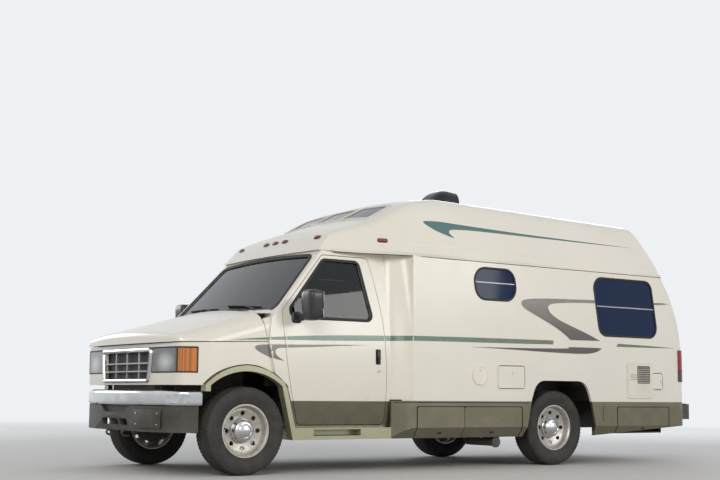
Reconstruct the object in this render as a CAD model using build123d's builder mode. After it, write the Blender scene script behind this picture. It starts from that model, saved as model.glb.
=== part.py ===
from build123d import *
from math import asin, atan2, cos, radians, sin, tan
import os

os.makedirs("parts", exist_ok=True)

# Overall sizes in millimetres: X runs forward, Y to the left, Z up from the ground.
# The origin is on the ground, halfway between the two bumpers.
wheelbase = 3505
front_overhang = 760
rear_overhang = 2015
front_track = 1763
rear_track = 1707
cab_half_width = 1005
coach_half_width = 1067
roof_seam_z = 1940
floor_top_z = 660
floor_thickness = 30
panel_gap = 6
front_axle_x = (wheelbase + rear_overhang - front_overhang) / 2
rear_axle_x = front_axle_x - wheelbase
front_end_x = front_axle_x + front_overhang
rear_end_x = rear_axle_x - rear_overhang
floor_bottom_z = floor_top_z - floor_thickness
# Long enough to pass through the whole vehicle in any direction.
reach = 4 * wheelbase

# Wheels
tyre_radius = 365
tyre_width = 240
tyre_shoulder = 38
rim_radius = 221
rim_width = 190
rim_wall = 10
rim_lip = 12
disc_offset = 45
disc_thickness = 12
hand_hole_radius = 17
hand_hole_circle = 148
hand_hole_count = 8
hub_radius = 62
hub_bore_clearance = 0.5
hub_rear = 40
hub_gap = 3
spindle_tip = 48
disc_bend_radius = 172
disc_dish = 22
tyre_bead_radius = 236
tyre_bead = 12
spindle_radius = 30
cap_radius = 90
cap_foot = 38
cap_rise = 58
axle_z = tyre_radius

# Steering: knuckles turn on upright kingpins
kingpin_offset = 120
kingpin_y = front_track / 2 - kingpin_offset
kingpin_radius = 14
kingpin_clearance = 0.05
knuckle_height = 150
knuckle_radius = 32
knuckle_ear = 24
beam_eye_gap = 1
spindle_root_radius = 45
brake_radius = 150
brake_inner = 80
brake_outer = 55
brake_chamfer = 10
web_gap = 6

# Front axle: two crossed beams, each held by a radius arm, with a coil spring near its end
beam_low_z = 335
beam_high_z = 395
beam_width = 54
beam_offset_x = 52
beam_jog_outer_y = 525
beam_jog_inner_y = 440
beam_pivot_y = 330
arm_front_y = 555
arm_rear_y = 415
arm_rear_x = front_axle_x - 1000
arm_width = 40
arm_low_z = 345
arm_high_z = 385
coil_y = 600
coil_radius = 58
coil_wire = 8
coil_turns = 7
spring_seat_z = 605
spring_seat_thickness = 25

# Frame
rail_y = 395
rail_width = 75
rail_depth = 150
rail_front_x = front_axle_x + 600
rail_rear_x = rear_end_x + 150
rail_wall = 9
rail_top_z = floor_bottom_z
rail_bottom_z = rail_top_z - rail_depth

# Crossmembers: centre x behind the front axle, length along the frame, low edge, high edge
crossmembers = [
    (-555, 60, rail_bottom_z + 25, rail_top_z - 10),
    (0, 160, rail_bottom_z, rail_bottom_z + 60),
    (1780, 80, rail_bottom_z + 60, rail_top_z),
    (2750, 80, rail_bottom_z + 60, rail_top_z),
    (4250, 80, rail_bottom_z + 60, rail_top_z),
    (5140, 110, rail_bottom_z, rail_top_z),
]

# Hitch receiver, under the last crossmember
hitch_outer = 64
hitch_inner = 51
hitch_front_x = rear_end_x + 420
hitch_rear_x = rear_end_x + 45
hitch_z = rail_bottom_z - 74
hitch_pin_bore = 16
hitch_pin_setback = 65
hitch_plate_length = 110

# Cab, with its widest line at the waist and its sides leaning in above the belt
sill_z = 385
sill_half_width = 962
waist_z = 900
belt_z = 1350
belt_half_width = 985
cab_roof_half_width = 868
cab_wall = 115
cab_frame_wall = 42
cab_rear_x = front_axle_x - 1458
wing_skin = 35
wing_bottom_z = 737
nose_mid_x = front_axle_x + 655
nose_corner_x = front_axle_x + 612
nose_corner_y = 870
nose_side_x = front_axle_x + 430
nose_side_y = 972
cowl_front_x = front_axle_x - 128
cowl_z = 1385
firewall_x = front_axle_x - 400
bay_rear_x = front_axle_x - 365
toe_board_z = 950
toe_board_run = 210
hinge_post_x = front_axle_x - 250
hinge_post_y = 830
wheel_space_radius = 445
wheel_space_inner_y = 540

# Windshield, bowed about its own slope
windshield_base_x = front_axle_x - 235
windshield_base_z = 1392
windshield_top_x = front_axle_x - 739
windshield_bow = 57
windshield_glass = 8
windshield_frame = 45
windshield_low_half = 905
windshield_high_half = 792
windshield_low_margin = 30
windshield_high_margin = 48
windshield_corner = 60
windshield_rise = roof_seam_z - windshield_base_z
windshield_run = windshield_base_x - windshield_top_x
windshield_length = (windshield_rise**2 + windshield_run**2) ** 0.5
windshield_slope = atan2(windshield_rise, windshield_run)

# Hood, a clamshell that wraps down to a level cut line
hood_rear_x = front_axle_x - 105
hood_rear_z = 1400
hood_slope = radians(15.2)
hood_crown = 34
hood_half_width = 978
hood_shoulder = 150
hood_skin = 28
hood_tip_x = front_axle_x + 705
hood_corner_x = front_axle_x + 628
hood_cut_front_z = 1083
hood_cut_rear_z = 1112
hood_cut_rear_x = front_axle_x - 195
hood_lip_radius = 45

# Cab door outline, from the side, and its window
door_bottom_z = sill_z + 27
door_front_low_x = front_axle_x - 507
door_front_mid_x = front_axle_x - 398
door_front_mid_z = 835
door_front_top_x = front_axle_x - 332
door_front_top_z = 1375
door_pillar_x = front_axle_x - 790
door_top_z = 1892
door_rear_top_x = front_axle_x - 1275
door_rear_mid_x = front_axle_x - 1390
door_rear_mid_z = 1200
door_rear_low_x = front_axle_x - 1405
door_corner = 45
door_thickness = 105
door_frame_thickness = 32
window_low_z = 1332
window_mid_z = 1400
window_top_z = 1842
window_front_x = front_axle_x - 422
window_pillar_x = front_axle_x - 800
window_rear_top_x = front_axle_x - 1162
window_rear_low_x = front_axle_x - 1258
window_corner = 42
door_glass = 5
door_skin = 25
door_edge_step = 12

# Wheel arches: outer edge of the moulding, from the side
front_arch_front = 400
front_arch_rear = 369
front_arch_side_z = 737
front_arch_top_z = 901
front_arch_foot = 480
arch_band = 46
arch_proud = 12
arch_depth = 70
rear_arch_half_top = 165
rear_arch_half_mid = 400
rear_arch_half_foot = 488
rear_arch_top_z = 822
rear_arch_mid_z = 640
rear_arch_foot_z = 250
rear_arch_corner = 150

# Running board
board_bottom_z = 285
board_top_z = sill_z
board_rear_x = front_axle_x - 1458
board_inner_y = 800
board_pocket_depth = 95
board_pocket_front_x = front_axle_x - 640
board_pocket_rear_x = front_axle_x - 1130
board_pocket_low_z = 318
board_pocket_high_z = 372

# Coach body
coach_front_x = cab_rear_x
coach_wide_x = coach_front_x - 205
coach_rear_x = rear_axle_x - 1810
coach_wall = 45
coach_corner = 100
coach_rear_curve = 1450
coach_rear_curve_z = 1060
coach_rear_lean = asin((roof_seam_z - coach_rear_curve_z) / coach_rear_curve)
skirt_top_z = 620
skirt_crease_z = 393
skirt_bottom_z = 285
skirt_tuck = 58
skirt_skin = 25
skirt_rear_bottom_z = 378
wheel_box_wall = 20
wheel_box_inner_y = 640

# Side windows: parallelograms that lean back with the body
window_lean = 0.165
small_window_mid_x = coach_front_x - 1187
small_window_mid_z = 1726
small_window_width = 500
small_window_height = 291
small_window_corner = 118
large_window_mid_x = rear_axle_x - 913
large_window_mid_z = 1580
large_window_width = 842
large_window_height = 578
large_window_corner = 100
coach_glass = 12
coach_glass_recess = 4

# Raised roof
roof_skin = 38
roof_crown_z = 2565
roof_fall = 0.022
roof_visor = 22

# Roof sections, front to rear: x behind the front axle, half width at the seam, half width at the
# shoulder, shoulder height, crown height, shoulder radius
roof_sections = [
    (690, 872, 822, 1978, 2000, 22),
    (840, 882, 830, 2060, 2085, 55),
    (1000, 905, 850, 2145, 2185, 90),
    (1310, 968, 885, 2235, 2295, 110),
    (1640, 1058, 925, 2410, 2450, 140),
    (1820, 1067, 934, 2469, 2519, 150),
    (1980, 1067, 938, 2493, 2550, 150),
    (2150, 1067, 938, 2500, 2565, 150),
]
roof_tail_round = 200

# Opening in the underside of the roof: x behind the front axle, half width
roof_opening = [(900, 765), (1000, 790), (1440, 822), (1560, 925), (1700, 1005), (1800, 1029)]

# Lamps on the roof's brow and sides
marker_width = 95
marker_height = 26
marker_depth = 60
marker_x = front_axle_x - 850
marker_z = 2080
marker_centres_y = (-690, -170, 0, 170, 690)
side_marker_x = front_axle_x - 1391
side_marker_z = 2060
side_marker_proud = 14

# Skylights in the steep front of the roof
skylight_front_x = front_axle_x - 1390
skylight_rear_x = front_axle_x - 1640
skylight_pitch = 505
skylight_width = 445
skylight_glass = 10

# Roof vent cover
vent_front_x = front_axle_x - 2525
vent_rear_x = front_axle_x - 3090
vent_half_width = 250
vent_height = 225
vent_brow_height = 170
vent_crest_x = front_axle_x - 2840
vent_brow_x = front_axle_x - 2640
vent_corner = 40
vent_slot_height = 22
vent_slot_depth = 60
vent_slot_count = 4

# Rear window
rear_glass_half_width = 640
rear_glass_bottom_z = 1240
rear_glass_top_z = 1760
rear_glass_corner = 70

# Tail lamps
tail_lamp_inner_y = 920
tail_lamp_low_z = 839
tail_lamp_high_z = 1162
tail_lamp_depth = 60

# Entry door, on the right
entry_front_x = coach_wide_x - 70
entry_width = 640
entry_bottom_z = 440
entry_top_z = 1880
entry_corner = 60
entry_gap = 8
entry_window_width = 400
entry_window_bottom_z = 1290
entry_window_top_z = 1760
entry_step_y = 760

# Skirt compartment doors: low edge, high edge
locker_top_z = 566
locker_left_front_x = coach_front_x - 255
locker_split_x = coach_front_x - 805
locker_left_rear_x = coach_front_x - 1515
locker_rear_front_x = rear_axle_x - 770
locker_rear_rear_x = rear_axle_x - 1533
locker_box_wall = 12
locker_box_inner_y = 690
locker_box_outer_y = 970
locker_box_low_z = 300
locker_corner = 20

# Service lids and fixed panels on the left wall: centre x, centre z, width, height
lid_thickness = 18
lid_pocket = 34
lid_gap = 7
water_lid_x = coach_front_x - 1385
water_lid_z = 848
water_lid_width = 330
water_lid_height = 208
cord_lid_x = rear_axle_x - 1377
cord_lid_z = 835
cord_lid_width = 142
cord_lid_height = 162
appliance_x = rear_axle_x - 1092
appliance_z = 835
appliance_width = 340
appliance_height = 360
louvre_x = rear_axle_x - 1156
louvre_z = 901
louvre_width = 160
louvre_height = 156
louvre_depth = 5
louvre_count = 7
filler_x = coach_front_x - 989
filler_z = 860
filler_radius = 90
fixed_panel_proud = 8

# Bumpers
bumper_chrome_top_z = 688
bumper_chrome_low_z = 565
bumper_low_z = 352
bumper_edge = 24
valance_tuck = 45
valance_recess_top = 300
valance_recess_low = 190
valance_recess_z = 508
valance_recess_depth = 30
valance_slot_count = 3
valance_slot_width = 150
valance_slot_pitch = 180
valance_slot_low_z = 400
valance_slot_high_z = 454
valance_slot_corner = 12
bumper_skin = 60
bumper_corner_x = front_axle_x + 660
bumper_corner_y = 760
bumper_side_x = front_axle_x + 400
bumper_side_y = 962
bumper_step = 25
rear_bumper_top_z = 600
rear_bumper_low_z = 440
rear_bumper_half_width = 985
rear_bumper_wrap = 170

# Grille
grille_half_width = 465
grille_low_z = 765
grille_high_z = 1012
grille_depth = 45
grille_frame = 30
grille_bar = 13
grille_bar_count = 3
grille_post_count = 4
grille_corner = 18

# Front lamps
lamp_low_z = 843
lamp_high_z = 1040
lamp_inner_y = 482
lamp_split_y = 893
lamp_rear_x = front_axle_x + 455
lamp_depth = 70
lamp_gap = 3

# Mirrors
mirror_x = front_axle_x - 520
mirror_y = 1195
mirror_low_z = 1370
mirror_high_z = 1552
mirror_width = 190
mirror_depth = 105
mirror_arm_z = 1305
mirror_arm_x = front_axle_x - 470
mirror_arm_width = 110
mirror_arm_height = 38
mirror_post_radius = 22

# Engine and driveline
engine_front_x = front_axle_x + 330
engine_rear_x = front_axle_x - 350
engine_half_width = 300
engine_low_z = 540
engine_high_z = 1010
gearbox_rear_x = front_axle_x - 1150
gearbox_front_radius = 125
gearbox_rear_radius = 80
gearbox_front_z = 500
shaft_radius = 42
shaft_front_z = 490
shaft_rear_x = rear_axle_x + 175

# Rear axle and leaf springs
axle_tube_radius = 46
diff_radius = 150
diff_half_width = 130
leaf_y = 505
leaf_width = 70
leaf_half_length = 690
leaf_low_z = axle_z + axle_tube_radius
leaf_thickness = 34
leaf_rise = 62
leaf_hanger = 60
leaf_hanger_width = 36

# Radiator
radiator_front_x = front_axle_x + 570
radiator_rear_x = front_axle_x + 495
radiator_half_width = 425
radiator_high_z = 1040

# Exhaust
exhaust_y = -250
exhaust_z = 430
exhaust_radius = 30
exhaust_front_x = front_axle_x - 180
exhaust_rear_x = front_axle_x - 2960
exhaust_tip_y = -930
exhaust_tip_z = 330
exhaust_bend = 110
muffler_front_x = front_axle_x - 2150
muffler_rear_x = front_axle_x - 2810
muffler_radius = 95
muffler_end = 60

# Tanks
fuel_tank_front_x = rear_axle_x - 706
fuel_tank_rear_x = rear_axle_x - 1560
fuel_tank_half_width = 300
fuel_tank_low_z = 340
tank_corner = 45
waste_tank_front_x = front_axle_x - 2150
waste_tank_rear_x = front_axle_x - 2790
waste_tank_inner_y = 445
waste_tank_outer_y = 680
waste_tank_low_z = 345
outlet_x = front_axle_x - 2720
outlet_y = 565
outlet_z = 235
outlet_radius = 38
outlet_tip_y = 985
outlet_flange = 12

# Dashboard, seats and steering wheel
dash_front_x = firewall_x
dash_half_width = 850
dash_profile = [
    (0, 1345),
    (160, 1352),
    (265, 1315),
    (300, 1230),
    (250, 1080),
    (180, 985),
    (0, 960),
]
engine_cover_rear_x = front_axle_x - 940
engine_cover_half_width = 195
engine_cover_z = 990
engine_cover_step = 35
wheel_centre_x = front_axle_x - 815
wheel_centre_z = 1285
wheel_y = 430
wheel_ring_radius = 190
wheel_grip_radius = 15
wheel_hub_radius = 55
wheel_hub_depth = 45
wheel_spoke_width = 42
wheel_spoke_count = 3
column_tilt = radians(40)
column_radius = 32
column_length = 168
column_gap = 2
seat_y = 470
seat_half_width = 250
seat_front_x = front_axle_x - 985
seat_rear_x = front_axle_x - 1475
seat_base_z = 940
seat_cushion_z = 1070
seat_back_z = 1650
seat_back_depth = 130
seat_back_lean = 110
headrest_z = 1830
headrest_half_width = 130
headrest_depth = 90

# Cabinets: side, front x behind the front axle, rear x, inner y, low z, high z
cabinet_outer_y = coach_half_width - coach_wall
cabinets_table = [
    (1, 2330, 2990, 560, floor_top_z, 1545),
    (1, 2990, 4060, 620, 870, 1265),
    (-1, 2450, 2990, 560, floor_top_z, 1545),
    (-1, 2990, 4060, 620, 870, 1265),
]
roof_cabinets_table = [
    (1, 2330, 4350, 740, 1945, 2230),
    (-1, 2330, 4350, 740, 1945, 2230),
]
cabinet_groove = 8
cabinet_door_pitch = 330
cabinet_door_margin = 45

# Rear sofa, across the tail
sofa_front_x = rear_axle_x - 1000
sofa_rear_x = coach_rear_x + coach_wall + 20
sofa_half_width = 1000
sofa_base_z = 950
sofa_cushion_z = 1080
sofa_back_z = 1225
sofa_back_depth = 150


def write(piece, name):
    """Label a finished piece and write it as its own file."""
    piece.part.label = name
    export_step(piece.part, f"parts/{name}.step")


def side_outline(points, corner):
    """A closed outline seen from the left, with every corner rounded alike."""
    with BuildSketch(Plane.XZ) as outline:
        with BuildLine():
            Polyline(*points, close=True)
        make_face()
        fillet(outline.vertices(), corner)
    return outline.sketch


def grown(outline, margin):
    """The same outline, larger by a margin, or smaller where it is negative."""
    with BuildSketch(Plane.XZ) as bigger:
        add(outline)
        offset(amount=margin, kind=Kind.INTERSECTION)
    return bigger.sketch


def side_blocks(outline, inner_y, outer_y, sides=(1, -1)):
    """A side outline pushed outwards from inner_y to outer_y on each side named."""
    with BuildPart() as blocks:
        for side in sides:
            placed = outline.moved(Location((0, side * inner_y, 0)))
            extrude(placed, amount=outer_y - inner_y, dir=(0, side, 0))
    return blocks.part


# Cab cross-section
def cab_section(low_wall, high_wall):
    """Front view of the cab inside walls of these thicknesses below and above the belt."""
    with BuildSketch(Plane.YZ) as section:
        with BuildLine():
            low = (sill_half_width - low_wall, sill_z)
            waist = (cab_half_width - low_wall, waist_z)
            belt = (belt_half_width - low_wall, belt_z)
            ledge = (belt_half_width - high_wall, belt_z)
            roof = (cab_roof_half_width - high_wall, roof_seam_z)
            ThreePointArc(low, waist, belt)
            if high_wall != low_wall:
                Line(belt, ledge)
            Line(ledge, roof)
            Line(roof, (0, roof_seam_z))
            Line((0, roof_seam_z), (0, sill_z))
            Line((0, sill_z), low)
        make_face()
        mirror(about=Plane.YZ)
    return section.sketch


def nose_plan(mid_x, corner_x, inset):
    """Top view of the nose and cab inside a skin of this thickness."""
    with BuildSketch() as plan:
        with BuildLine():
            ThreePointArc(
                (corner_x - inset, -nose_corner_y + inset / 2),
                (mid_x - inset, 0),
                (corner_x - inset, nose_corner_y - inset / 2),
            )
            Spline(
                (corner_x - inset, nose_corner_y - inset / 2),
                (nose_side_x, nose_side_y - inset),
                tangents=[(-0.25, 1), (-1, 0.1)],
            )
            Polyline(
                (nose_side_x, nose_side_y - inset),
                (windshield_base_x, cab_half_width + panel_gap - inset),
                (rear_end_x, cab_half_width + panel_gap - inset),
                (rear_end_x, -cab_half_width - panel_gap + inset),
                (windshield_base_x, -cab_half_width - panel_gap + inset),
                (nose_side_x, -nose_side_y + inset),
            )
            Spline(
                (nose_side_x, -nose_side_y + inset),
                (corner_x - inset, -nose_corner_y + inset / 2),
                tangents=[(1, 0.1), (0.25, 1)],
            )
        make_face()
    return plan.sketch


hood_plane = Plane(
    origin=(hood_rear_x, 0, hood_rear_z),
    x_dir=(0, 1, 0),
    z_dir=(cos(hood_slope), 0, -sin(hood_slope)),
)


def hood_section(inset):
    """Section square to the hood's slope: crowned top and rounded shoulders."""
    with BuildSketch(hood_plane) as section:
        with BuildLine():
            half = hood_half_width - inset
            ThreePointArc((-half, -2 * hood_crown - inset), (0, -inset), (half, -2 * hood_crown - inset))
            Polyline(
                (half, -2 * hood_crown - inset),
                (half, -rail_y * 3),
                (-half, -rail_y * 3),
                (-half, -2 * hood_crown - inset),
            )
        make_face()
        fillet(section.vertices().group_by(Axis.Y)[-1], hood_shoulder - inset)
    return section.sketch


windshield_plane = Plane(
    origin=(windshield_base_x, 0, windshield_base_z),
    x_dir=(0, 1, 0),
    z_dir=(-cos(windshield_slope), 0, sin(windshield_slope)),
)


def behind_windshield(inset):
    """Section square to the windshield's slope: everything behind a bowed sheet."""
    with BuildSketch(windshield_plane) as section:
        with BuildLine():
            half = coach_half_width + panel_gap
            ThreePointArc((-half, windshield_bow + inset), (0, inset), (half, windshield_bow + inset))
            Polyline(
                (half, windshield_bow + inset),
                (half, reach / 4),
                (-half, reach / 4),
                (-half, windshield_bow + inset),
            )
        make_face()
    return section.sketch


windshield_face_plane = Plane(
    origin=(windshield_base_x, 0, windshield_base_z),
    x_dir=(0, 1, 0),
    z_dir=(sin(windshield_slope), 0, cos(windshield_slope)),
)


def windshield_outline(margin):
    """Outline of the glass, looking square onto it, larger by a margin."""
    with BuildSketch(windshield_face_plane) as outline:
        with BuildLine():
            low = windshield_low_margin
            high = windshield_length - windshield_high_margin
            Polyline(
                (windshield_low_half, low),
                (windshield_high_half, high),
                (-windshield_high_half, high),
                (-windshield_low_half, low),
                close=True,
            )
        make_face()
        fillet(outline.vertices(), windshield_corner)
        if margin:
            offset(amount=margin)
    return outline.sketch


def front_arch(margin):
    """Front wheel arch from the side: an arc over the tyre and a straight rear leg."""
    front = front_axle_x + front_arch_front - margin
    rear = front_axle_x - front_arch_rear + margin
    foot = front_axle_x - front_arch_foot + margin
    with BuildSketch(Plane.XZ) as outline:
        with BuildLine():
            Line((front, 0), (front, front_arch_side_z))
            ThreePointArc(
                (front, front_arch_side_z),
                (front_axle_x, front_arch_top_z - margin),
                (rear, front_arch_side_z),
            )
            Polyline((rear, front_arch_side_z), (foot, board_bottom_z), (foot, 0), (front, 0))
        make_face()
    return outline.sketch


def rear_arch(margin):
    """Rear wheel arch from the side, flat on top with rounded shoulders."""
    with BuildSketch(Plane.XZ) as outline:
        with BuildLine():
            top = rear_arch_top_z + margin
            mid = rear_arch_half_mid + margin
            foot = rear_arch_half_foot + margin
            Polyline(
                (rear_axle_x + foot, rear_arch_foot_z),
                (rear_axle_x + mid, rear_arch_mid_z),
                (rear_axle_x + rear_arch_half_top * 2, top),
                (rear_axle_x - rear_arch_half_top * 2, top),
                (rear_axle_x - mid, rear_arch_mid_z),
                (rear_axle_x - foot, rear_arch_foot_z),
                close=True,
            )
        make_face()
        fillet(outline.vertices().group_by(Axis.Y)[-1], rear_arch_corner)
    return outline.sketch


# Cab door outline
with BuildSketch(Plane.XZ) as cab_door_sketch:
    with BuildLine():
        ThreePointArc(
            (door_front_low_x, door_bottom_z),
            (door_front_mid_x, door_front_mid_z),
            (door_front_top_x, door_front_top_z),
        )
        Polyline(
            (door_front_top_x, door_front_top_z),
            (door_pillar_x, door_top_z),
            (door_rear_top_x, door_top_z),
        )
        ThreePointArc(
            (door_rear_top_x, door_top_z),
            (door_rear_mid_x, door_rear_mid_z),
            (door_rear_low_x, door_bottom_z),
        )
        Line((door_rear_low_x, door_bottom_z), (door_front_low_x, door_bottom_z))
    make_face()
    fillet(cab_door_sketch.vertices(), door_corner)
cab_door_outline = cab_door_sketch.sketch
cab_door_hole = grown(cab_door_outline, panel_gap)
with BuildSketch(Plane.XZ) as cab_door_high:
    add(cab_door_hole)
    with Locations((front_axle_x, belt_z)):
        Rectangle(reach, reach, align=(Align.CENTER, Align.MIN), mode=Mode.INTERSECT)
cab_door_hole_high = cab_door_high.sketch
cab_window = side_outline(
    [
        (window_front_x, window_low_z),
        (window_front_x, window_mid_z),
        (window_pillar_x, window_top_z),
        (window_rear_top_x, window_top_z),
        (window_rear_low_x, window_low_z),
    ],
    window_corner,
)

# Cab body
cab_outer = cab_section(0, 0)
cab_inner = cab_section(cab_wall, cab_frame_wall)
nose_outer = nose_plan(nose_mid_x, nose_corner_x, 0)
nose_inner = nose_plan(nose_mid_x, nose_corner_x, wing_skin)
hood_outer = hood_section(0)
hood_inner = hood_section(hood_skin)
windshield_outer = behind_windshield(0)
windshield_inner = behind_windshield(windshield_frame)
windshield_hole = windshield_outline(0)

with BuildSketch(Plane.XZ) as wing_side:
    with BuildLine():
        Polyline(
            (nose_mid_x, wing_bottom_z),
            (nose_mid_x, hood_cut_front_z - panel_gap),
            (hood_cut_rear_x - panel_gap, hood_cut_rear_z - panel_gap),
            (cowl_front_x - panel_gap, cowl_z),
            (windshield_base_x - cab_wall, cowl_z),
            (windshield_base_x - cab_wall, wing_bottom_z),
            close=True,
        )
    make_face()

with BuildSketch(Plane.XZ) as house_side:
    with BuildLine():
        Polyline(
            (hood_cut_rear_x - panel_gap, hood_cut_rear_z - panel_gap),
            (windshield_base_x, windshield_base_z),
            (windshield_top_x, roof_seam_z),
            (cab_rear_x, roof_seam_z),
            (cab_rear_x, sill_z),
            (front_axle_x - front_arch_foot + cab_wall, sill_z),
            close=True,
        )
    make_face()

with BuildSketch(Plane.XZ) as bay_side:
    with BuildLine():
        Polyline(
            (nose_mid_x - wing_skin, 0),
            (nose_mid_x - wing_skin, cowl_z + wing_skin),
            (cowl_front_x - wing_skin, cowl_z + wing_skin),
            (cowl_front_x - wing_skin, cowl_z - wing_skin),
            (bay_rear_x, cowl_z - wing_skin),
            (bay_rear_x, toe_board_z),
            (bay_rear_x - toe_board_run, floor_bottom_z),
            (bay_rear_x - toe_board_run, 0),
            close=True,
        )
    make_face()

with BuildSketch(Plane.XZ) as cabin_side:
    with BuildLine():
        Polyline(
            (firewall_x, cowl_z - wing_skin),
            (firewall_x, toe_board_z),
            (firewall_x - toe_board_run, floor_top_z),
            (cab_rear_x - cab_wall, floor_top_z),
            (cab_rear_x - cab_wall, roof_seam_z),
            (windshield_top_x, roof_seam_z),
            (windshield_base_x, cowl_z - wing_skin),
            close=True,
        )
    make_face()

with BuildPart() as cab_house:
    extrude(house_side.sketch, amount=reach, both=True)
    extrude(cab_outer, amount=reach, both=True, mode=Mode.INTERSECT)
    extrude(windshield_outer, amount=reach, both=True, mode=Mode.INTERSECT)

with BuildPart() as cab_nose:
    extrude(wing_side.sketch, amount=reach, both=True)
    extrude(cab_outer, amount=reach, both=True, mode=Mode.INTERSECT)
    extrude(nose_outer, amount=reach, both=True, mode=Mode.INTERSECT)
    extrude(hood_outer, amount=reach, both=True, mode=Mode.INTERSECT)

with BuildPart() as cabin_space:
    extrude(cabin_side.sketch, amount=reach, both=True)
    extrude(cab_inner, amount=reach, both=True, mode=Mode.INTERSECT)
    extrude(windshield_inner, amount=reach, both=True, mode=Mode.INTERSECT)

with BuildPart() as bay_space:
    extrude(bay_side.sketch, amount=cab_half_width - cab_wall / 2, both=True)
    extrude(nose_inner, amount=reach, both=True, mode=Mode.INTERSECT)
    for side in (1, -1):
        with Locations((hinge_post_x, side * hinge_post_y, wing_bottom_z)):
            Box(
                reach,
                reach,
                reach,
                align=(Align.MAX, Align.MIN if side > 0 else Align.MAX, Align.MIN),
                mode=Mode.SUBTRACT,
            )

with BuildPart() as wheel_space:
    with BuildSketch(Plane.XZ) as wheel_space_side:
        with Locations((front_axle_x, axle_z)):
            Circle(wheel_space_radius)
        with Locations((front_axle_x, 0)):
            Rectangle(
                2 * wheel_space_radius,
                wing_bottom_z,
                align=(Align.CENTER, Align.MIN),
                mode=Mode.INTERSECT,
            )
    add(side_blocks(wheel_space_side.sketch, wheel_space_inner_y, cab_half_width - wing_skin))

with BuildPart() as cab_body:
    add(cab_house.part)
    add(cab_nose.part)
    add(cabin_space.part, mode=Mode.SUBTRACT)
    add(bay_space.part, mode=Mode.SUBTRACT)
    add(wheel_space.part, mode=Mode.SUBTRACT)
    # Open underside between the sills
    with BuildSketch(Plane.XY.offset(floor_bottom_z)):
        with Locations((cab_rear_x, 0)):
            Rectangle(reach / 4, 2 * board_inner_y)
    extrude(amount=-reach, mode=Mode.SUBTRACT)
    add(side_blocks(cab_door_hole, cab_half_width - cab_wall - wing_skin, reach), mode=Mode.SUBTRACT)
    add(side_blocks(cab_door_hole_high, board_inner_y, reach), mode=Mode.SUBTRACT)
    add(side_blocks(front_arch(0), cab_half_width - cab_wall - wing_skin, reach), mode=Mode.SUBTRACT)
    extrude(windshield_hole, amount=cab_wall, both=True, mode=Mode.SUBTRACT)
    # Grille and lamp openings in the nose
    with Locations((nose_mid_x, 0, (grille_low_z + grille_high_z) / 2)):
        Box(
            4 * wing_skin,
            2 * grille_half_width,
            grille_high_z - grille_low_z,
            mode=Mode.SUBTRACT,
        )
    for side in (1, -1):
        with Locations((lamp_rear_x - lamp_gap, side * lamp_inner_y, lamp_low_z - lamp_gap)):
            Box(
                reach,
                reach,
                lamp_high_z - lamp_low_z + 2 * lamp_gap,
                align=(Align.MIN, Align.MIN if side > 0 else Align.MAX, Align.MIN),
                mode=Mode.SUBTRACT,
            )
write(cab_body, "cab_body")


# Hood
with BuildSketch(Plane.XZ) as hood_side:
    with BuildLine():
        Polyline(
            (hood_tip_x + hood_skin, hood_cut_front_z),
            (hood_cut_rear_x, hood_cut_rear_z),
            (cowl_front_x + panel_gap, cowl_z),
            (cowl_front_x + panel_gap, roof_seam_z),
            (hood_tip_x + hood_skin, roof_seam_z),
            close=True,
        )
    make_face()

with BuildPart() as hood:
    extrude(hood_side.sketch, amount=reach, both=True)
    extrude(cab_outer, amount=reach, both=True, mode=Mode.INTERSECT)
    extrude(nose_plan(hood_tip_x, hood_corner_x, 0), amount=reach, both=True, mode=Mode.INTERSECT)
    extrude(hood_outer, amount=reach, both=True, mode=Mode.INTERSECT)
    lip_z = hood_rear_z - (hood_tip_x - hood_rear_x) * tan(hood_slope)
    fillet(hood.edges().sort_by_distance((hood_tip_x, 0, lip_z))[0], hood_lip_radius)
    with BuildPart(mode=Mode.PRIVATE) as under_hood:
        extrude(nose_plan(hood_tip_x, hood_corner_x, hood_skin), amount=reach, both=True)
        extrude(hood_inner, amount=reach, both=True, mode=Mode.INTERSECT)
    add(under_hood.part, mode=Mode.SUBTRACT)
write(hood, "hood")

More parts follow.
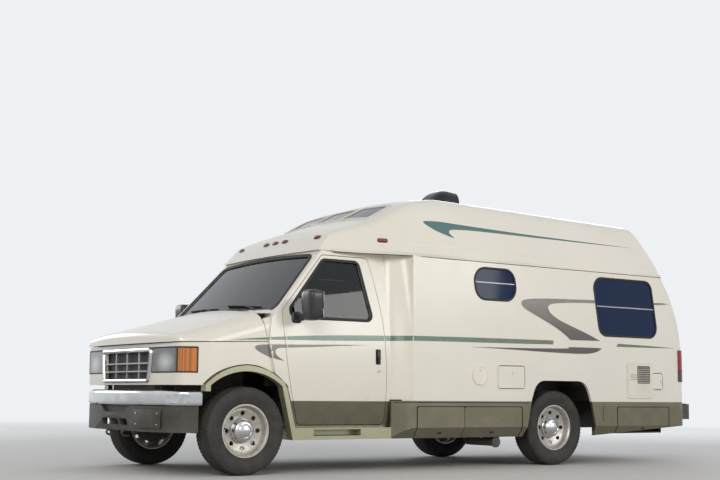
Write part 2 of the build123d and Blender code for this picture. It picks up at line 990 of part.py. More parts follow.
# Cab doors, their glass and mirrors
door_inner = cab_section(door_thickness, door_frame_thickness)
door_mid = cab_section(door_skin, door_skin)
glass_outer = cab_section(door_frame_thickness / 2 - door_glass, door_frame_thickness / 2 - door_glass)
glass_inner = cab_section(door_frame_thickness / 2, door_frame_thickness / 2)
for side, name in ((1, "left"), (-1, "right")):
    with BuildPart() as cab_door:
        add(side_blocks(cab_door_outline, board_inner_y, reach, (side,)))
        extrude(cab_outer, amount=reach, both=True, mode=Mode.INTERSECT)
        extrude(door_mid, amount=reach, both=True, mode=Mode.SUBTRACT)
        with BuildPart(mode=Mode.PRIVATE) as door_box:
            add(side_blocks(grown(cab_door_outline, -door_edge_step), board_inner_y, reach, (side,)))
            extrude(cab_outer, amount=reach, both=True, mode=Mode.INTERSECT)
            extrude(door_inner, amount=reach, both=True, mode=Mode.SUBTRACT)
        add(door_box.part)
        add(side_blocks(cab_window, board_inner_y, reach, (side,)), mode=Mode.SUBTRACT)
    write(cab_door, f"cab_door_{name}")

    with BuildPart() as cab_glass:
        add(side_blocks(cab_window, board_inner_y, reach, (side,)))
        extrude(glass_outer, amount=reach, both=True, mode=Mode.INTERSECT)
        extrude(glass_inner, amount=reach, both=True, mode=Mode.SUBTRACT)
    write(cab_glass, f"cab_glass_{name}")

    with BuildPart() as mirror_head:
        with BuildSketch(Plane.XY.offset(mirror_low_z)):
            with Locations((mirror_x, side * mirror_y)):
                RectangleRounded(mirror_depth, mirror_width, mirror_depth / 3)
        extrude(amount=mirror_high_z - mirror_low_z)
        with BuildSketch(Plane.XY.offset(mirror_arm_z)):
            with Locations((mirror_x, side * mirror_y)):
                Circle(mirror_post_radius)
        extrude(amount=mirror_low_z - mirror_arm_z)
        with BuildSketch(Plane.XY.offset(mirror_arm_z)):
            with BuildLine():
                Polyline(
                    (mirror_arm_x + mirror_arm_width / 2, side * sill_half_width),
                    (mirror_x + mirror_post_radius, side * (mirror_y + mirror_post_radius)),
                    (mirror_x - mirror_post_radius, side * (mirror_y + mirror_post_radius)),
                    (mirror_arm_x - mirror_arm_width / 2, side * sill_half_width),
                    close=True,
                )
            make_face()
        extrude(amount=mirror_arm_height / 2, both=True)
        extrude(cab_outer, amount=reach, both=True, mode=Mode.SUBTRACT)
    write(mirror_head, f"mirror_{name}")

# Windshield
with BuildPart() as windshield:
    extrude(windshield_outline(0), amount=cab_wall, both=True)
    extrude(behind_windshield(windshield_glass), amount=reach, both=True, mode=Mode.INTERSECT)
    extrude(behind_windshield(2 * windshield_glass), amount=reach, both=True, mode=Mode.SUBTRACT)
write(windshield, "windshield")

# Grille: one plate pierced so that bars and posts are left
with BuildPart() as grille:
    extrude(nose_plan(nose_mid_x + arch_proud, nose_corner_x + arch_proud, 0), amount=reach)
    extrude(nose_plan(nose_mid_x, nose_corner_x, grille_depth), amount=reach, mode=Mode.SUBTRACT)
    with BuildSketch(Plane.YZ.offset(front_axle_x)) as grille_outline:
        with Locations((0, (grille_low_z + grille_high_z) / 2)):
            Rectangle(2 * grille_half_width, grille_high_z - grille_low_z)
        fillet(grille_outline.vertices(), grille_corner)
    extrude(amount=reach, mode=Mode.INTERSECT)
    hole_columns = grille_post_count + 1
    hole_rows = grille_bar_count + 1
    hole_width = (2 * (grille_half_width - grille_frame) - grille_post_count * grille_bar) / hole_columns
    hole_field = grille_high_z - grille_low_z - 2 * grille_frame
    hole_height = (hole_field - grille_bar_count * grille_bar) / hole_rows
    with BuildSketch(Plane.YZ.offset(front_axle_x)):
        with Locations((0, (grille_low_z + grille_high_z) / 2)):
            with GridLocations(hole_width + grille_bar, hole_height + grille_bar, hole_columns, hole_rows):
                Rectangle(hole_width, hole_height)
    extrude(amount=reach, mode=Mode.SUBTRACT)
write(grille, "grille")

# Front lamps, wrapping round the corners of the nose
with BuildPart() as front_lamps:
    for side in (1, -1):
        for inner_y, outer_y in ((lamp_inner_y, lamp_split_y), (lamp_split_y + lamp_gap, reach)):
            with BuildSketch(Plane.XY.offset(lamp_low_z)):
                add(nose_outer)
                add(nose_plan(nose_mid_x, nose_corner_x, lamp_depth), mode=Mode.SUBTRACT)
                with Locations((lamp_rear_x, side * inner_y)):
                    Rectangle(
                        reach,
                        outer_y - inner_y,
                        align=(Align.MIN, Align.MIN if side > 0 else Align.MAX),
                        mode=Mode.INTERSECT,
                    )
            extrude(amount=lamp_high_z - lamp_low_z)
write(front_lamps, "front_lamps")


def bumper_plan(inset):
    """Top view of the front bumper inside a skin of this thickness."""
    with BuildSketch() as plan:
        with BuildLine():
            corner = (bumper_corner_x - inset, bumper_corner_y - inset / 2)
            side = (bumper_side_x - inset, bumper_side_y - inset)
            ThreePointArc((corner[0], -corner[1]), (front_end_x - inset, 0), corner)
            Spline(corner, side, tangents=[(-0.35, 1), (-1, 0.12)])
            Line(side, (side[0], -side[1]))
            Spline((side[0], -side[1]), (corner[0], -corner[1]), tangents=[(1, 0.12), (0.35, 1)])
        make_face()
    return plan.sketch


with BuildPart() as front_bumper:
    with BuildSketch(Plane.XY.offset(bumper_chrome_low_z)):
        add(bumper_plan(0))
        add(bumper_plan(bumper_skin), mode=Mode.SUBTRACT)
        with Locations((bumper_side_x, 0)):
            Rectangle(reach, reach, align=(Align.MIN, Align.CENTER), mode=Mode.INTERSECT)
    extrude(amount=bumper_chrome_top_z - bumper_chrome_low_z)
    for edge_z in (bumper_chrome_low_z, bumper_chrome_top_z):
        fillet(front_bumper.edges().sort_by_distance((front_end_x, 0, edge_z))[0], bumper_edge)
    for side in (1, -1):
        with Locations((rail_front_x, side * rail_y, bumper_chrome_low_z)):
            Box(
                front_end_x - bumper_skin / 2 - rail_front_x - bumper_step,
                rail_width,
                rail_top_z - bumper_chrome_low_z,
                align=(Align.MIN, Align.CENTER, Align.MIN),
            )
write(front_bumper, "front_bumper")

with BuildPart() as front_valance:
    with BuildSketch(Plane.XY.offset(bumper_low_z)):
        add(bumper_plan(fixed_panel_proud))
        add(bumper_plan(bumper_skin), mode=Mode.SUBTRACT)
        with Locations((bumper_side_x + bumper_step, 0)):
            Rectangle(reach, reach, align=(Align.MIN, Align.CENTER), mode=Mode.INTERSECT)
    extrude(amount=bumper_chrome_low_z - bumper_low_z)
    # Lower edge tucked back towards the wheels
    with BuildSketch(Plane.XZ):
        with BuildLine():
            Polyline(
                (front_end_x, bumper_low_z),
                (front_end_x, valance_recess_z),
                (front_end_x - valance_tuck, bumper_low_z),
                close=True,
            )
        make_face()
    extrude(amount=reach, both=True, mode=Mode.SUBTRACT)
    with BuildSketch(Plane.YZ.offset(front_end_x)) as recess_front:
        with BuildLine():
            Polyline(
                (valance_recess_top, bumper_chrome_low_z),
                (valance_recess_low, valance_recess_z),
                (-valance_recess_low, valance_recess_z),
                (-valance_recess_top, bumper_chrome_low_z),
                close=True,
            )
        make_face()
    extrude(amount=-valance_recess_depth - valance_tuck / 2, mode=Mode.SUBTRACT)
    with BuildSketch(Plane.YZ.offset(front_end_x)):
        with Locations((0, (valance_slot_low_z + valance_slot_high_z) / 2)):
            with GridLocations(valance_slot_pitch, 1, valance_slot_count, 1):
                RectangleRounded(
                    valance_slot_width,
                    valance_slot_high_z - valance_slot_low_z,
                    valance_slot_corner,
                )
    extrude(amount=-2 * bumper_skin, mode=Mode.SUBTRACT)
write(front_valance, "front_valance")

# Running boards, each in one piece with the moulding round its wheel arch
with BuildPart() as running_boards:
    for side in (1, -1):
        with BuildPart(mode=Mode.PRIVATE) as moulding:
            add(side_blocks(front_arch(0), cab_half_width - arch_depth, cab_half_width + arch_proud, (side,)))
            with Locations((0, 0, board_bottom_z)):
                Box(reach, reach, reach, align=(Align.CENTER, Align.CENTER, Align.MIN), mode=Mode.INTERSECT)
            with Locations((front_axle_x, 0, bumper_chrome_top_z)):
                Box(reach, reach, reach, align=(Align.MIN, Align.CENTER, Align.MAX), mode=Mode.SUBTRACT)
            board_length = front_axle_x - front_arch_foot + arch_band - board_rear_x
            with Locations((board_rear_x, side * board_inner_y, board_bottom_z)):
                Box(
                    board_length,
                    cab_half_width + arch_proud - board_inner_y,
                    board_top_z - board_bottom_z,
                    align=(Align.MIN, Align.MIN if side > 0 else Align.MAX, Align.MIN),
                )
            arch_opening = side_blocks(front_arch(arch_band), board_inner_y - wing_skin, reach, (side,))
            add(arch_opening, mode=Mode.SUBTRACT)
            pocket_mid_x = (board_pocket_front_x + board_pocket_rear_x) / 2
            with Locations((pocket_mid_x, side * reach, (board_pocket_low_z + board_pocket_high_z) / 2)):
                Box(
                    board_pocket_front_x - board_pocket_rear_x,
                    2 * (reach - cab_half_width - arch_proud + board_pocket_depth),
                    board_pocket_high_z - board_pocket_low_z,
                    mode=Mode.SUBTRACT,
                )
        add(moulding.part)
write(running_boards, "running_boards")


# Coach body
def coach_section(widening):
    """Front view of the coach, from the cab's shape at 0 to the full width at 1."""
    x = coach_front_x + (coach_wide_x - coach_front_x) * (1 - (1 - widening) ** 1.6)
    low = sill_half_width + (coach_half_width - sill_half_width) * widening
    waist = cab_half_width + (coach_half_width + 1 - cab_half_width) * widening
    belt = belt_half_width + (coach_half_width - belt_half_width) * widening
    roof = cab_roof_half_width + (coach_half_width - cab_roof_half_width) * widening
    with BuildSketch(Plane.YZ.offset(x)) as section:
        with BuildLine():
            ThreePointArc((low, sill_z), (waist, waist_z), (belt, belt_z))
            Polyline((belt, belt_z), (roof, roof_seam_z), (-roof, roof_seam_z), (-belt, belt_z))
            ThreePointArc((-belt, belt_z), (-waist, waist_z), (-low, sill_z))
            Line((-low, sill_z), (low, sill_z))
        make_face()
    return section.sketch


def tail_side(inset, top_z):
    """Side view of everything ahead of the tail: upright, then arched forwards."""
    back = coach_rear_x + inset
    radius = coach_rear_curve - inset
    bend_x = back + radius * (1 - cos(coach_rear_lean))
    bend_z = coach_rear_curve_z + radius * sin(coach_rear_lean)
    mid_x = back + radius * (1 - cos(coach_rear_lean / 2))
    mid_z = coach_rear_curve_z + radius * sin(coach_rear_lean / 2)
    top_x = bend_x + (top_z - bend_z) * tan(coach_rear_lean)
    with BuildSketch(Plane.XZ) as outline:
        with BuildLine():
            Line((back, 0), (back, coach_rear_curve_z))
            ThreePointArc((back, coach_rear_curve_z), (mid_x, mid_z), (bend_x, bend_z))
            Polyline((bend_x, bend_z), (top_x, top_z), (front_axle_x, top_z), (front_axle_x, 0), (back, 0))
        make_face()
    return outline.sketch


tail_outer = tail_side(0, roof_crown_z + coach_wall)
tail_inner = tail_side(coach_wall, roof_crown_z + coach_wall)

with BuildPart() as coach_outer:
    for widening in (0, 0.45, 0.85, 1):
        add(coach_section(widening))
    loft()
    with BuildSketch(Plane.YZ.offset(coach_wide_x)):
        with Locations((0, (sill_z + roof_seam_z) / 2)):
            Rectangle(2 * coach_half_width, roof_seam_z - sill_z)
    extrude(amount=coach_rear_x - coach_wide_x)
    extrude(tail_outer, amount=reach, both=True, mode=Mode.INTERSECT)
    fillet(coach_outer.faces().sort_by(Axis.X)[0].edges().filter_by(Axis.Z), coach_corner)


def window_outline(mid_x, mid_z, width, height, corner):
    """A side window: a parallelogram whose upright edges lean."""
    lean = window_lean * height / 2
    return side_outline(
        [
            (mid_x + width / 2 - lean, mid_z - height / 2),
            (mid_x + width / 2 + lean, mid_z + height / 2),
            (mid_x - width / 2 + lean, mid_z + height / 2),
            (mid_x - width / 2 - lean, mid_z - height / 2),
        ],
        corner,
    )


def panel_outline(mid_x, mid_z, width, height, corner):
    """A rounded rectangle seen from the side."""
    with BuildSketch(Plane.XZ) as outline:
        with Locations((mid_x, mid_z)):
            RectangleRounded(width, height, corner)
    return outline.sketch


small_window = window_outline(
    small_window_mid_x, small_window_mid_z, small_window_width, small_window_height, small_window_corner
)
large_window = window_outline(
    large_window_mid_x, large_window_mid_z, large_window_width, large_window_height, large_window_corner
)
entry_mid_x = entry_front_x - entry_width / 2
entry_mid_z = (entry_bottom_z + entry_top_z) / 2
entry_height = entry_top_z - entry_bottom_z
entry_outline = panel_outline(entry_mid_x, entry_mid_z, entry_width, entry_height, entry_corner)
entry_hole = grown(entry_outline, entry_gap)
entry_window_outline = panel_outline(
    entry_mid_x,
    (entry_window_bottom_z + entry_window_top_z) / 2,
    entry_window_width,
    entry_window_top_z - entry_window_bottom_z,
    entry_corner,
)
water_lid_outline = panel_outline(water_lid_x, water_lid_z, water_lid_width, water_lid_height, locker_corner)
cord_lid_outline = panel_outline(cord_lid_x, cord_lid_z, cord_lid_width, cord_lid_height, locker_corner)
with BuildSketch(Plane.YZ) as rear_window_sketch:
    with Locations((0, (rear_glass_bottom_z + rear_glass_top_z) / 2)):
        RectangleRounded(2 * rear_glass_half_width, rear_glass_top_z - rear_glass_bottom_z, rear_glass_corner)
rear_window = rear_window_sketch.sketch

with BuildPart() as coach_space:
    with Locations((coach_wide_x, 0, floor_top_z)):
        Box(
            coach_wide_x - coach_rear_x,
            2 * (coach_half_width - coach_wall),
            roof_seam_z - floor_top_z,
            align=(Align.MAX, Align.CENTER, Align.MIN),
        )
    with BuildPart(mode=Mode.PRIVATE) as passage:
        extrude(cab_inner, amount=reach, both=True)
        with Locations((coach_wide_x - panel_gap, 0, floor_top_z)):
            Box(
                coach_front_x - coach_wide_x + 2 * panel_gap,
                reach,
                roof_seam_z - floor_top_z,
                align=(Align.MIN, Align.CENTER, Align.MIN),
                mode=Mode.INTERSECT,
            )
    add(passage.part)
    extrude(tail_inner, amount=reach, both=True, mode=Mode.INTERSECT)

with BuildPart() as coach_body:
    add(coach_outer.part)
    with Locations((0, 0, skirt_top_z)):
        Box(reach, reach, reach, align=(Align.CENTER, Align.CENTER, Align.MIN), mode=Mode.INTERSECT)
    add(coach_space.part, mode=Mode.SUBTRACT)
    # Floor raised level with the frame between the side walls
    with Locations((0, 0, floor_bottom_z)):
        Box(
            reach,
            2 * (coach_half_width - coach_wall),
            reach,
            align=(Align.CENTER, Align.CENTER, Align.MAX),
            mode=Mode.SUBTRACT,
        )
    # Wheel boxes
    with BuildPart(mode=Mode.PRIVATE) as wheel_boxes:
        add(side_blocks(rear_arch(wheel_box_wall), wheel_box_inner_y, coach_half_width - coach_wall))
        with Locations((rear_axle_x, 0, floor_bottom_z)):
            Box(reach, reach, reach, align=(Align.CENTER, Align.CENTER, Align.MIN), mode=Mode.INTERSECT)
    add(wheel_boxes.part)
    with Locations((0, 0, roof_seam_z)):
        Box(reach, reach, reach, align=(Align.CENTER, Align.CENTER, Align.MIN), mode=Mode.SUBTRACT)
    add(side_blocks(rear_arch(0), wheel_box_inner_y + wheel_box_wall, reach), mode=Mode.SUBTRACT)
    # Step well inside the entry door
    with Locations((entry_mid_x, -entry_step_y + wheel_box_wall, entry_bottom_z - wheel_box_wall)):
        Box(
            entry_width + 2 * wheel_box_wall,
            coach_half_width - coach_wall - entry_step_y + wheel_box_wall,
            floor_bottom_z - entry_bottom_z + wheel_box_wall,
            align=(Align.CENTER, Align.MAX, Align.MIN),
        )
    with Locations((entry_mid_x, -entry_step_y, entry_bottom_z)):
        Box(
            entry_width,
            coach_half_width - coach_wall - entry_step_y,
            floor_top_z - entry_bottom_z,
            align=(Align.CENTER, Align.MAX, Align.MIN),
            mode=Mode.SUBTRACT,
        )
    add(side_blocks(entry_hole, coach_half_width - coach_wall - panel_gap, reach, (-1,)), mode=Mode.SUBTRACT)
    for outline in (small_window, large_window):
        add(side_blocks(outline, coach_half_width - 2 * coach_wall, reach), mode=Mode.SUBTRACT)
    for outline in (water_lid_outline, cord_lid_outline):
        hole = grown(outline, lid_gap)
        add(side_blocks(hole, coach_half_width - lid_pocket, reach, (1,)), mode=Mode.SUBTRACT)
    extrude(rear_window.moved(Location((rear_axle_x, 0, 0))), amount=-reach, mode=Mode.SUBTRACT)
    for side in (1, -1):
        with Locations((coach_rear_x + tail_lamp_depth, side * tail_lamp_inner_y, tail_lamp_low_z)):
            Box(
                reach,
                reach,
                tail_lamp_high_z - tail_lamp_low_z,
                align=(Align.MAX, Align.MIN if side > 0 else Align.MAX, Align.MIN),
                mode=Mode.SUBTRACT,
            )
write(coach_body, "coach_body")

# Tail lamps fill the notches in the rear corners
with BuildPart() as tail_lamps:
    for side in (1, -1):
        with BuildPart(mode=Mode.PRIVATE) as tail_lamp:
            with Locations((coach_rear_x + tail_lamp_depth, side * tail_lamp_inner_y, tail_lamp_low_z)):
                Box(
                    reach,
                    reach,
                    tail_lamp_high_z - tail_lamp_low_z,
                    align=(Align.MAX, Align.MIN if side > 0 else Align.MAX, Align.MIN),
                )
            add(coach_outer.part, mode=Mode.INTERSECT)
        add(tail_lamp.part)
write(tail_lamps, "tail_lamps")

# Fixed dark glass: side windows, rear window and, further on, the skylights
with BuildPart() as side_glass:
    for outline in (small_window, large_window):
        face_y = coach_half_width - coach_glass_recess
        add(side_blocks(outline, face_y - coach_glass, face_y))

with BuildPart() as rear_glass:
    extrude(rear_window.moved(Location((rear_axle_x, 0, 0))), amount=-reach)
    tail_glass_outer = tail_side(coach_glass_recess, roof_crown_z)
    tail_glass_inner = tail_side(coach_glass_recess + coach_glass, roof_crown_z)
    extrude(tail_glass_outer, amount=reach, both=True, mode=Mode.INTERSECT)
    extrude(tail_glass_inner, amount=reach, both=True, mode=Mode.SUBTRACT)


# Coach skirts
def skirt_plan(inset):
    """Top view of the coach inside the skirt, flaring out behind the cab."""
    with BuildSketch() as plan:
        with BuildLine():
            half = coach_half_width + arch_proud / 4 - inset
            front_half = cab_half_width + arch_proud - inset
            back_x = coach_rear_x + inset
            radius = coach_corner - inset
            ThreePointArc(
                (coach_front_x, front_half),
                ((coach_front_x + coach_wide_x) / 2, (front_half + half) / 2 + arch_proud / 2),
                (coach_wide_x, half),
            )
            Line((coach_wide_x, half), (back_x + radius, half))
            RadiusArc((back_x + radius, half), (back_x, half - radius), -radius)
            Line((back_x, half - radius), (back_x, 0))
            Line((back_x, 0), (coach_front_x, 0))
            Line((coach_front_x, 0), (coach_front_x, front_half))
        make_face()
        mirror(about=Plane.XZ)
    return plan.sketch


def skirt_section(inset):
    """Front view of the coach inside the skirt, tucked in below a crease."""
    with BuildSketch(Plane.YZ) as section:
        with BuildLine():
            half = coach_half_width + arch_proud - inset
            Polyline(
                (half, skirt_top_z),
                (half, skirt_crease_z),
                (half - skirt_tuck - arch_proud, skirt_bottom_z),
                (skirt_tuck + arch_proud - half, skirt_bottom_z),
                (-half, skirt_crease_z),
                (-half, skirt_top_z),
                close=True,
            )
        make_face()
    return section.sketch


skirt_outer_section = skirt_section(0)
skirt_inner_section = skirt_section(skirt_skin)
with BuildPart() as skirt_shell:
    extrude(skirt_outer_section, amount=reach, both=True)
    extrude(skirt_plan(0), amount=reach, mode=Mode.INTERSECT)
    with BuildPart(mode=Mode.PRIVATE) as skirt_space:
        extrude(skirt_inner_section, amount=reach, both=True)
        extrude(skirt_plan(skirt_skin), amount=reach, mode=Mode.INTERSECT)
    add(skirt_space.part, mode=Mode.SUBTRACT)
    # Rising lower edge behind the rear wheels, and an open tail for the bumper
    with BuildSketch(Plane.XZ):
        with BuildLine():
            Polyline(
                (rear_axle_x - rear_arch_half_foot, skirt_bottom_z),
                (coach_rear_x, skirt_rear_bottom_z),
                (coach_rear_x, 0),
                (rear_axle_x - rear_arch_half_foot, 0),
                close=True,
            )
        make_face()
    extrude(amount=reach, both=True, mode=Mode.SUBTRACT)
    with Locations((coach_rear_x, 0, 0)):
        Box(
            2 * tail_lamp_depth,
            2 * (rear_bumper_half_width + bumper_step / 2),
            reach,
            mode=Mode.SUBTRACT,
        )
    add(side_blocks(rear_arch(0), wheel_box_inner_y, reach), mode=Mode.SUBTRACT)

# Compartment doors: name, side, front x, rear x
lockers = [
    ("locker_left_front", 1, locker_left_front_x, locker_split_x),
    ("locker_left_middle", 1, locker_split_x, locker_left_rear_x),
    ("locker_left_rear", 1, locker_rear_front_x, locker_rear_rear_x),
    ("locker_right_rear", -1, locker_rear_front_x, locker_rear_rear_x),
]


def locker_outline(front_x, rear_x, margin):
    """A compartment door from the side, open at the bottom of the skirt."""
    with BuildSketch(Plane.XZ) as outline:
        with BuildLine():
            Polyline(
                (front_x + margin, 0),
                (front_x + margin, locker_top_z + margin),
                (rear_x - margin, locker_top_z + margin),
                (rear_x - margin, 0),
                close=True,
            )
        make_face()
        fillet(outline.vertices().group_by(Axis.Y)[-1], locker_corner)
    return outline.sketch


for name, side, front_x, rear_x in lockers:
    with BuildPart() as locker:
        outline = locker_outline(front_x - panel_gap / 2, rear_x + panel_gap / 2, 0)
        add(side_blocks(outline, wheel_box_inner_y, reach, (side,)))
        add(skirt_shell.part, mode=Mode.INTERSECT)
    write(locker, name)

with BuildPart() as coach_skirts:
    add(skirt_shell.part)
    for name, side, front_x, rear_x in lockers:
        outline = locker_outline(front_x + panel_gap / 2, rear_x - panel_gap / 2, panel_gap)
        add(side_blocks(outline, wheel_box_inner_y, reach, (side,)), mode=Mode.SUBTRACT)
    add(side_blocks(entry_hole, wheel_box_inner_y, reach, (-1,)), mode=Mode.SUBTRACT)
write(coach_skirts, "coach_skirts")

# Storage boxes behind the compartment doors, open at the outer side
with BuildPart() as storage_boxes:
    for name, side, front_x, rear_x in lockers:
        with BuildPart(mode=Mode.PRIVATE) as storage_box:
            box_mid = ((front_x + rear_x) / 2, side * locker_box_inner_y, locker_box_low_z)
            box_align = (Align.CENTER, Align.MIN if side > 0 else Align.MAX, Align.MIN)
            box_length = front_x - rear_x - 2 * locker_box_wall
            box_height = floor_bottom_z - locker_box_low_z
            with Locations(box_mid):
                Box(box_length, locker_box_outer_y - locker_box_inner_y, box_height, align=box_align)
            space_y = side * (locker_box_inner_y + locker_box_wall)
            with Locations((box_mid[0], space_y, locker_box_low_z + locker_box_wall)):
                Box(
                    box_length - 2 * locker_box_wall,
                    reach,
                    box_height - 2 * locker_box_wall,
                    align=box_align,
                    mode=Mode.SUBTRACT,
                )
        add(storage_box.part)
write(storage_boxes, "storage_boxes")

# Entry door and its glass
with BuildPart() as entry_door:
    add(side_blocks(entry_outline, coach_half_width - coach_wall, coach_half_width, (-1,)))
    entry_window_hole = side_blocks(entry_window_outline, coach_half_width - 2 * coach_wall, reach, (-1,))
    add(entry_window_hole, mode=Mode.SUBTRACT)
write(entry_door, "entry_door")

with BuildPart() as entry_glass:
    face_y = coach_half_width - coach_glass_recess
    add(side_blocks(entry_window_outline, face_y - coach_glass, face_y, (-1,)))
write(entry_glass, "entry_glass")

# Service lids on the left wall
for name, outline in (("water_lid", water_lid_outline), ("cord_lid", cord_lid_outline)):
    with BuildPart() as lid:
        add(side_blocks(outline, coach_half_width - lid_thickness, coach_half_width, (1,)))
    write(lid, name)

# Appliance panel with its louvred grille, and the fuel filler's door
with BuildPart() as side_panels:
    appliance_outline = panel_outline(
        appliance_x, appliance_z, appliance_width, appliance_height, locker_corner
    )
    add(side_blocks(appliance_outline, coach_half_width, coach_half_width + fixed_panel_proud, (1,)))
    with Locations((louvre_x, coach_half_width + fixed_panel_proud, louvre_z)):
        Box(louvre_width, 2 * louvre_depth, louvre_height, mode=Mode.SUBTRACT)
    slat_pitch = louvre_height / louvre_count
    for slat in range(louvre_count):
        slat_z = louvre_z - louvre_height / 2 + (slat + 0.5) * slat_pitch
        with Locations((louvre_x, coach_half_width, slat_z)):
            Box(
                louvre_width,
                fixed_panel_proud,
                slat_pitch / 2,
                align=(Align.CENTER, Align.MIN, Align.CENTER),
            )
    with BuildSketch(Plane.XZ) as filler_outline:
        with Locations((filler_x, filler_z)):
            Circle(filler_radius)
    add(side_blocks(filler_outline.sketch, coach_half_width, coach_half_width + fixed_panel_proud, (1,)))
write(side_panels, "side_panels")


# Raised roof
def roof_section(row, base_z):
    """Front view of the roof at one row of the table."""
    behind, base, shoulder, shoulder_z, crown_z, radius = row
    with BuildSketch(Plane.YZ.offset(front_axle_x - behind)) as section:
        with BuildLine():
            ThreePointArc((-shoulder, shoulder_z), (0, crown_z), (shoulder, shoulder_z))
            Polyline((shoulder, shoulder_z), (base, base_z), (-base, base_z), (-shoulder, shoulder_z))
        make_face()
        fillet(section.vertices().group_by(Axis.Y)[-1], radius)
    return section.sketch


def roof_shell(rows, base_z):
    """The lofted front of the roof and its straight, gently falling rear."""
    behind, base, shoulder, shoulder_z, crown_z, radius = rows[-1]
    rear_behind = front_axle_x - coach_rear_x
    fall = roof_fall * (rear_behind - behind)
    last = (rear_behind, base, shoulder, shoulder_z - fall, crown_z - fall, radius)
    with BuildPart() as shell:
        for row in rows:
            add(roof_section(row, base_z))
        loft()
        add(roof_section(rows[-1], base_z))
        add(roof_section(last, base_z))
        loft(ruled=True)
    return shell.part


tail_plane = Plane(
    origin=(coach_rear_x + coach_rear_curve * (1 - cos(coach_rear_lean)), 0, roof_seam_z),
    x_dir=(0, 1, 0),
    z_dir=(sin(coach_rear_lean), 0, cos(coach_rear_lean)),
)
with BuildSketch(tail_plane) as tail_section:
    with BuildLine():
        half = coach_half_width + panel_gap
        Polyline((-half, 0), (half, 0), (half, -reach / 4), (-half, -reach / 4), close=True)
    make_face()
    fillet(tail_section.vertices().group_by(Axis.Y)[-1], coach_corner)


def roof_side(inset):
    """Side view of everything under the roof's fall and its rounded rear edge."""
    back = coach_rear_x + inset
    radius = coach_rear_curve - inset
    bend_x = back + radius * (1 - cos(coach_rear_lean))
    bend_z = coach_rear_curve_z + radius * sin(coach_rear_lean)
    top_z = roof_crown_z - roof_fall * (front_axle_x - roof_sections[-1][0] - coach_rear_x) - inset
    top_x = bend_x + (top_z - bend_z) * tan(coach_rear_lean)
    rise = reach * roof_fall
    with BuildSketch(Plane.XZ) as outline:
        with BuildLine():
            Polyline(
                (bend_x, bend_z),
                (top_x, top_z),
                (top_x + reach, top_z + rise),
                (reach, bend_z),
                close=True,
            )
        make_face()
        fillet(outline.vertices().sort_by_distance((top_x, top_z, 0))[0], roof_tail_round - inset)
    return outline.sketch


with BuildPart() as roof_outer:
    add(roof_shell(roof_sections, roof_seam_z))
    extrude(behind_windshield(-roof_visor), amount=reach, both=True, mode=Mode.INTERSECT)
    extrude(tail_section.sketch, amount=reach, both=True, mode=Mode.INTERSECT)
    extrude(roof_side(0), amount=reach, both=True, mode=Mode.INTERSECT)

roof_inner_sections = [
    (behind, *(size - roof_skin for size in sizes)) for behind, *sizes in roof_sections[2:]
]

with BuildPart() as roof_space:
    with BuildSketch(Plane.XY.offset(roof_seam_z - panel_gap)):
        with BuildLine():
            near = [(front_axle_x - behind, half) for behind, half in roof_opening]
            near = near + [(coach_rear_x + coach_wall, coach_half_width - roof_skin)]
            far = [(x, -y) for x, y in reversed(near)]
            Polyline(*near, *far, close=True)
        make_face()
    extrude(amount=roof_skin + 2 * panel_gap)
    add(roof_shell(roof_inner_sections, roof_seam_z + roof_skin))
    extrude(tail_inner, amount=reach, both=True, mode=Mode.INTERSECT)
    extrude(roof_side(roof_skin), amount=reach, both=True, mode=Mode.INTERSECT)

with BuildPart() as skylight_holes:
    with Locations(((skylight_front_x + skylight_rear_x) / 2, 0, roof_crown_z)):
        with GridLocations(0, skylight_pitch, 1, 3):
            Box(skylight_front_x - skylight_rear_x, skylight_width, reach / 8)

with BuildPart() as roof_cap:
    add(roof_outer.part)
    add(roof_space.part, mode=Mode.SUBTRACT)
    add(skylight_holes.part, mode=Mode.SUBTRACT)
write(roof_cap, "roof_cap")

with BuildPart() as skylights:
    add(roof_outer.part)
    add(roof_outer.part.moved(Location((0, 0, -skylight_glass))), mode=Mode.SUBTRACT)
    add(skylight_holes.part, mode=Mode.INTERSECT)

with BuildPart() as tinted_glass:
    add(side_glass.part)
    add(rear_glass.part)
    add(skylights.part)
write(tinted_glass, "tinted_glass")

# Cover over the roof vent, with slots at its rear
with BuildPart() as roof_vent:
    vent_top_z = roof_crown_z + vent_height
    with BuildSketch(Plane.XZ):
        with BuildLine():
            Polyline(
                (vent_front_x, roof_crown_z - roof_skin),
                (vent_brow_x, roof_crown_z + vent_brow_height),
                (vent_crest_x, vent_top_z),
                (vent_rear_x, vent_top_z),
                (vent_rear_x, roof_crown_z - 2 * roof_skin),
                close=True,
            )
        make_face()
    extrude(amount=vent_half_width, both=True)
    fillet(roof_vent.edges().filter_by(Plane.XZ).group_by(Axis.Z)[-1], vent_corner)
    add(roof_outer.part, mode=Mode.SUBTRACT)
    for slot in range(vent_slot_count):
        with Locations((vent_rear_x, 0, vent_top_z - (2.2 + 2 * slot) * vent_slot_height)):
            Box(2 * vent_slot_depth, 1.6 * vent_half_width, vent_slot_height, mode=Mode.SUBTRACT)
write(roof_vent, "roof_vent")

# Marker lamps on the brow and the sides of the roof
with BuildPart() as marker_lamps:
    for centre_y in marker_centres_y:
        with BuildPart(mode=Mode.PRIVATE) as marker:
            with Locations((marker_x, centre_y, marker_z)):
                Box(marker_depth, marker_width, marker_height)
            add(roof_outer.part, mode=Mode.SUBTRACT)
        add(marker.part)
    for side in (1, -1):
        with BuildPart(mode=Mode.PRIVATE) as side_marker:
            add(roof_outer.part.moved(Location((0, side * side_marker_proud, 0))))
            with Locations((side_marker_x, side * cab_half_width, side_marker_z)):
                Box(marker_width, cab_half_width, marker_height, mode=Mode.INTERSECT)
            add(roof_outer.part, mode=Mode.SUBTRACT)
        add(side_marker.part)
write(marker_lamps, "marker_lamps")

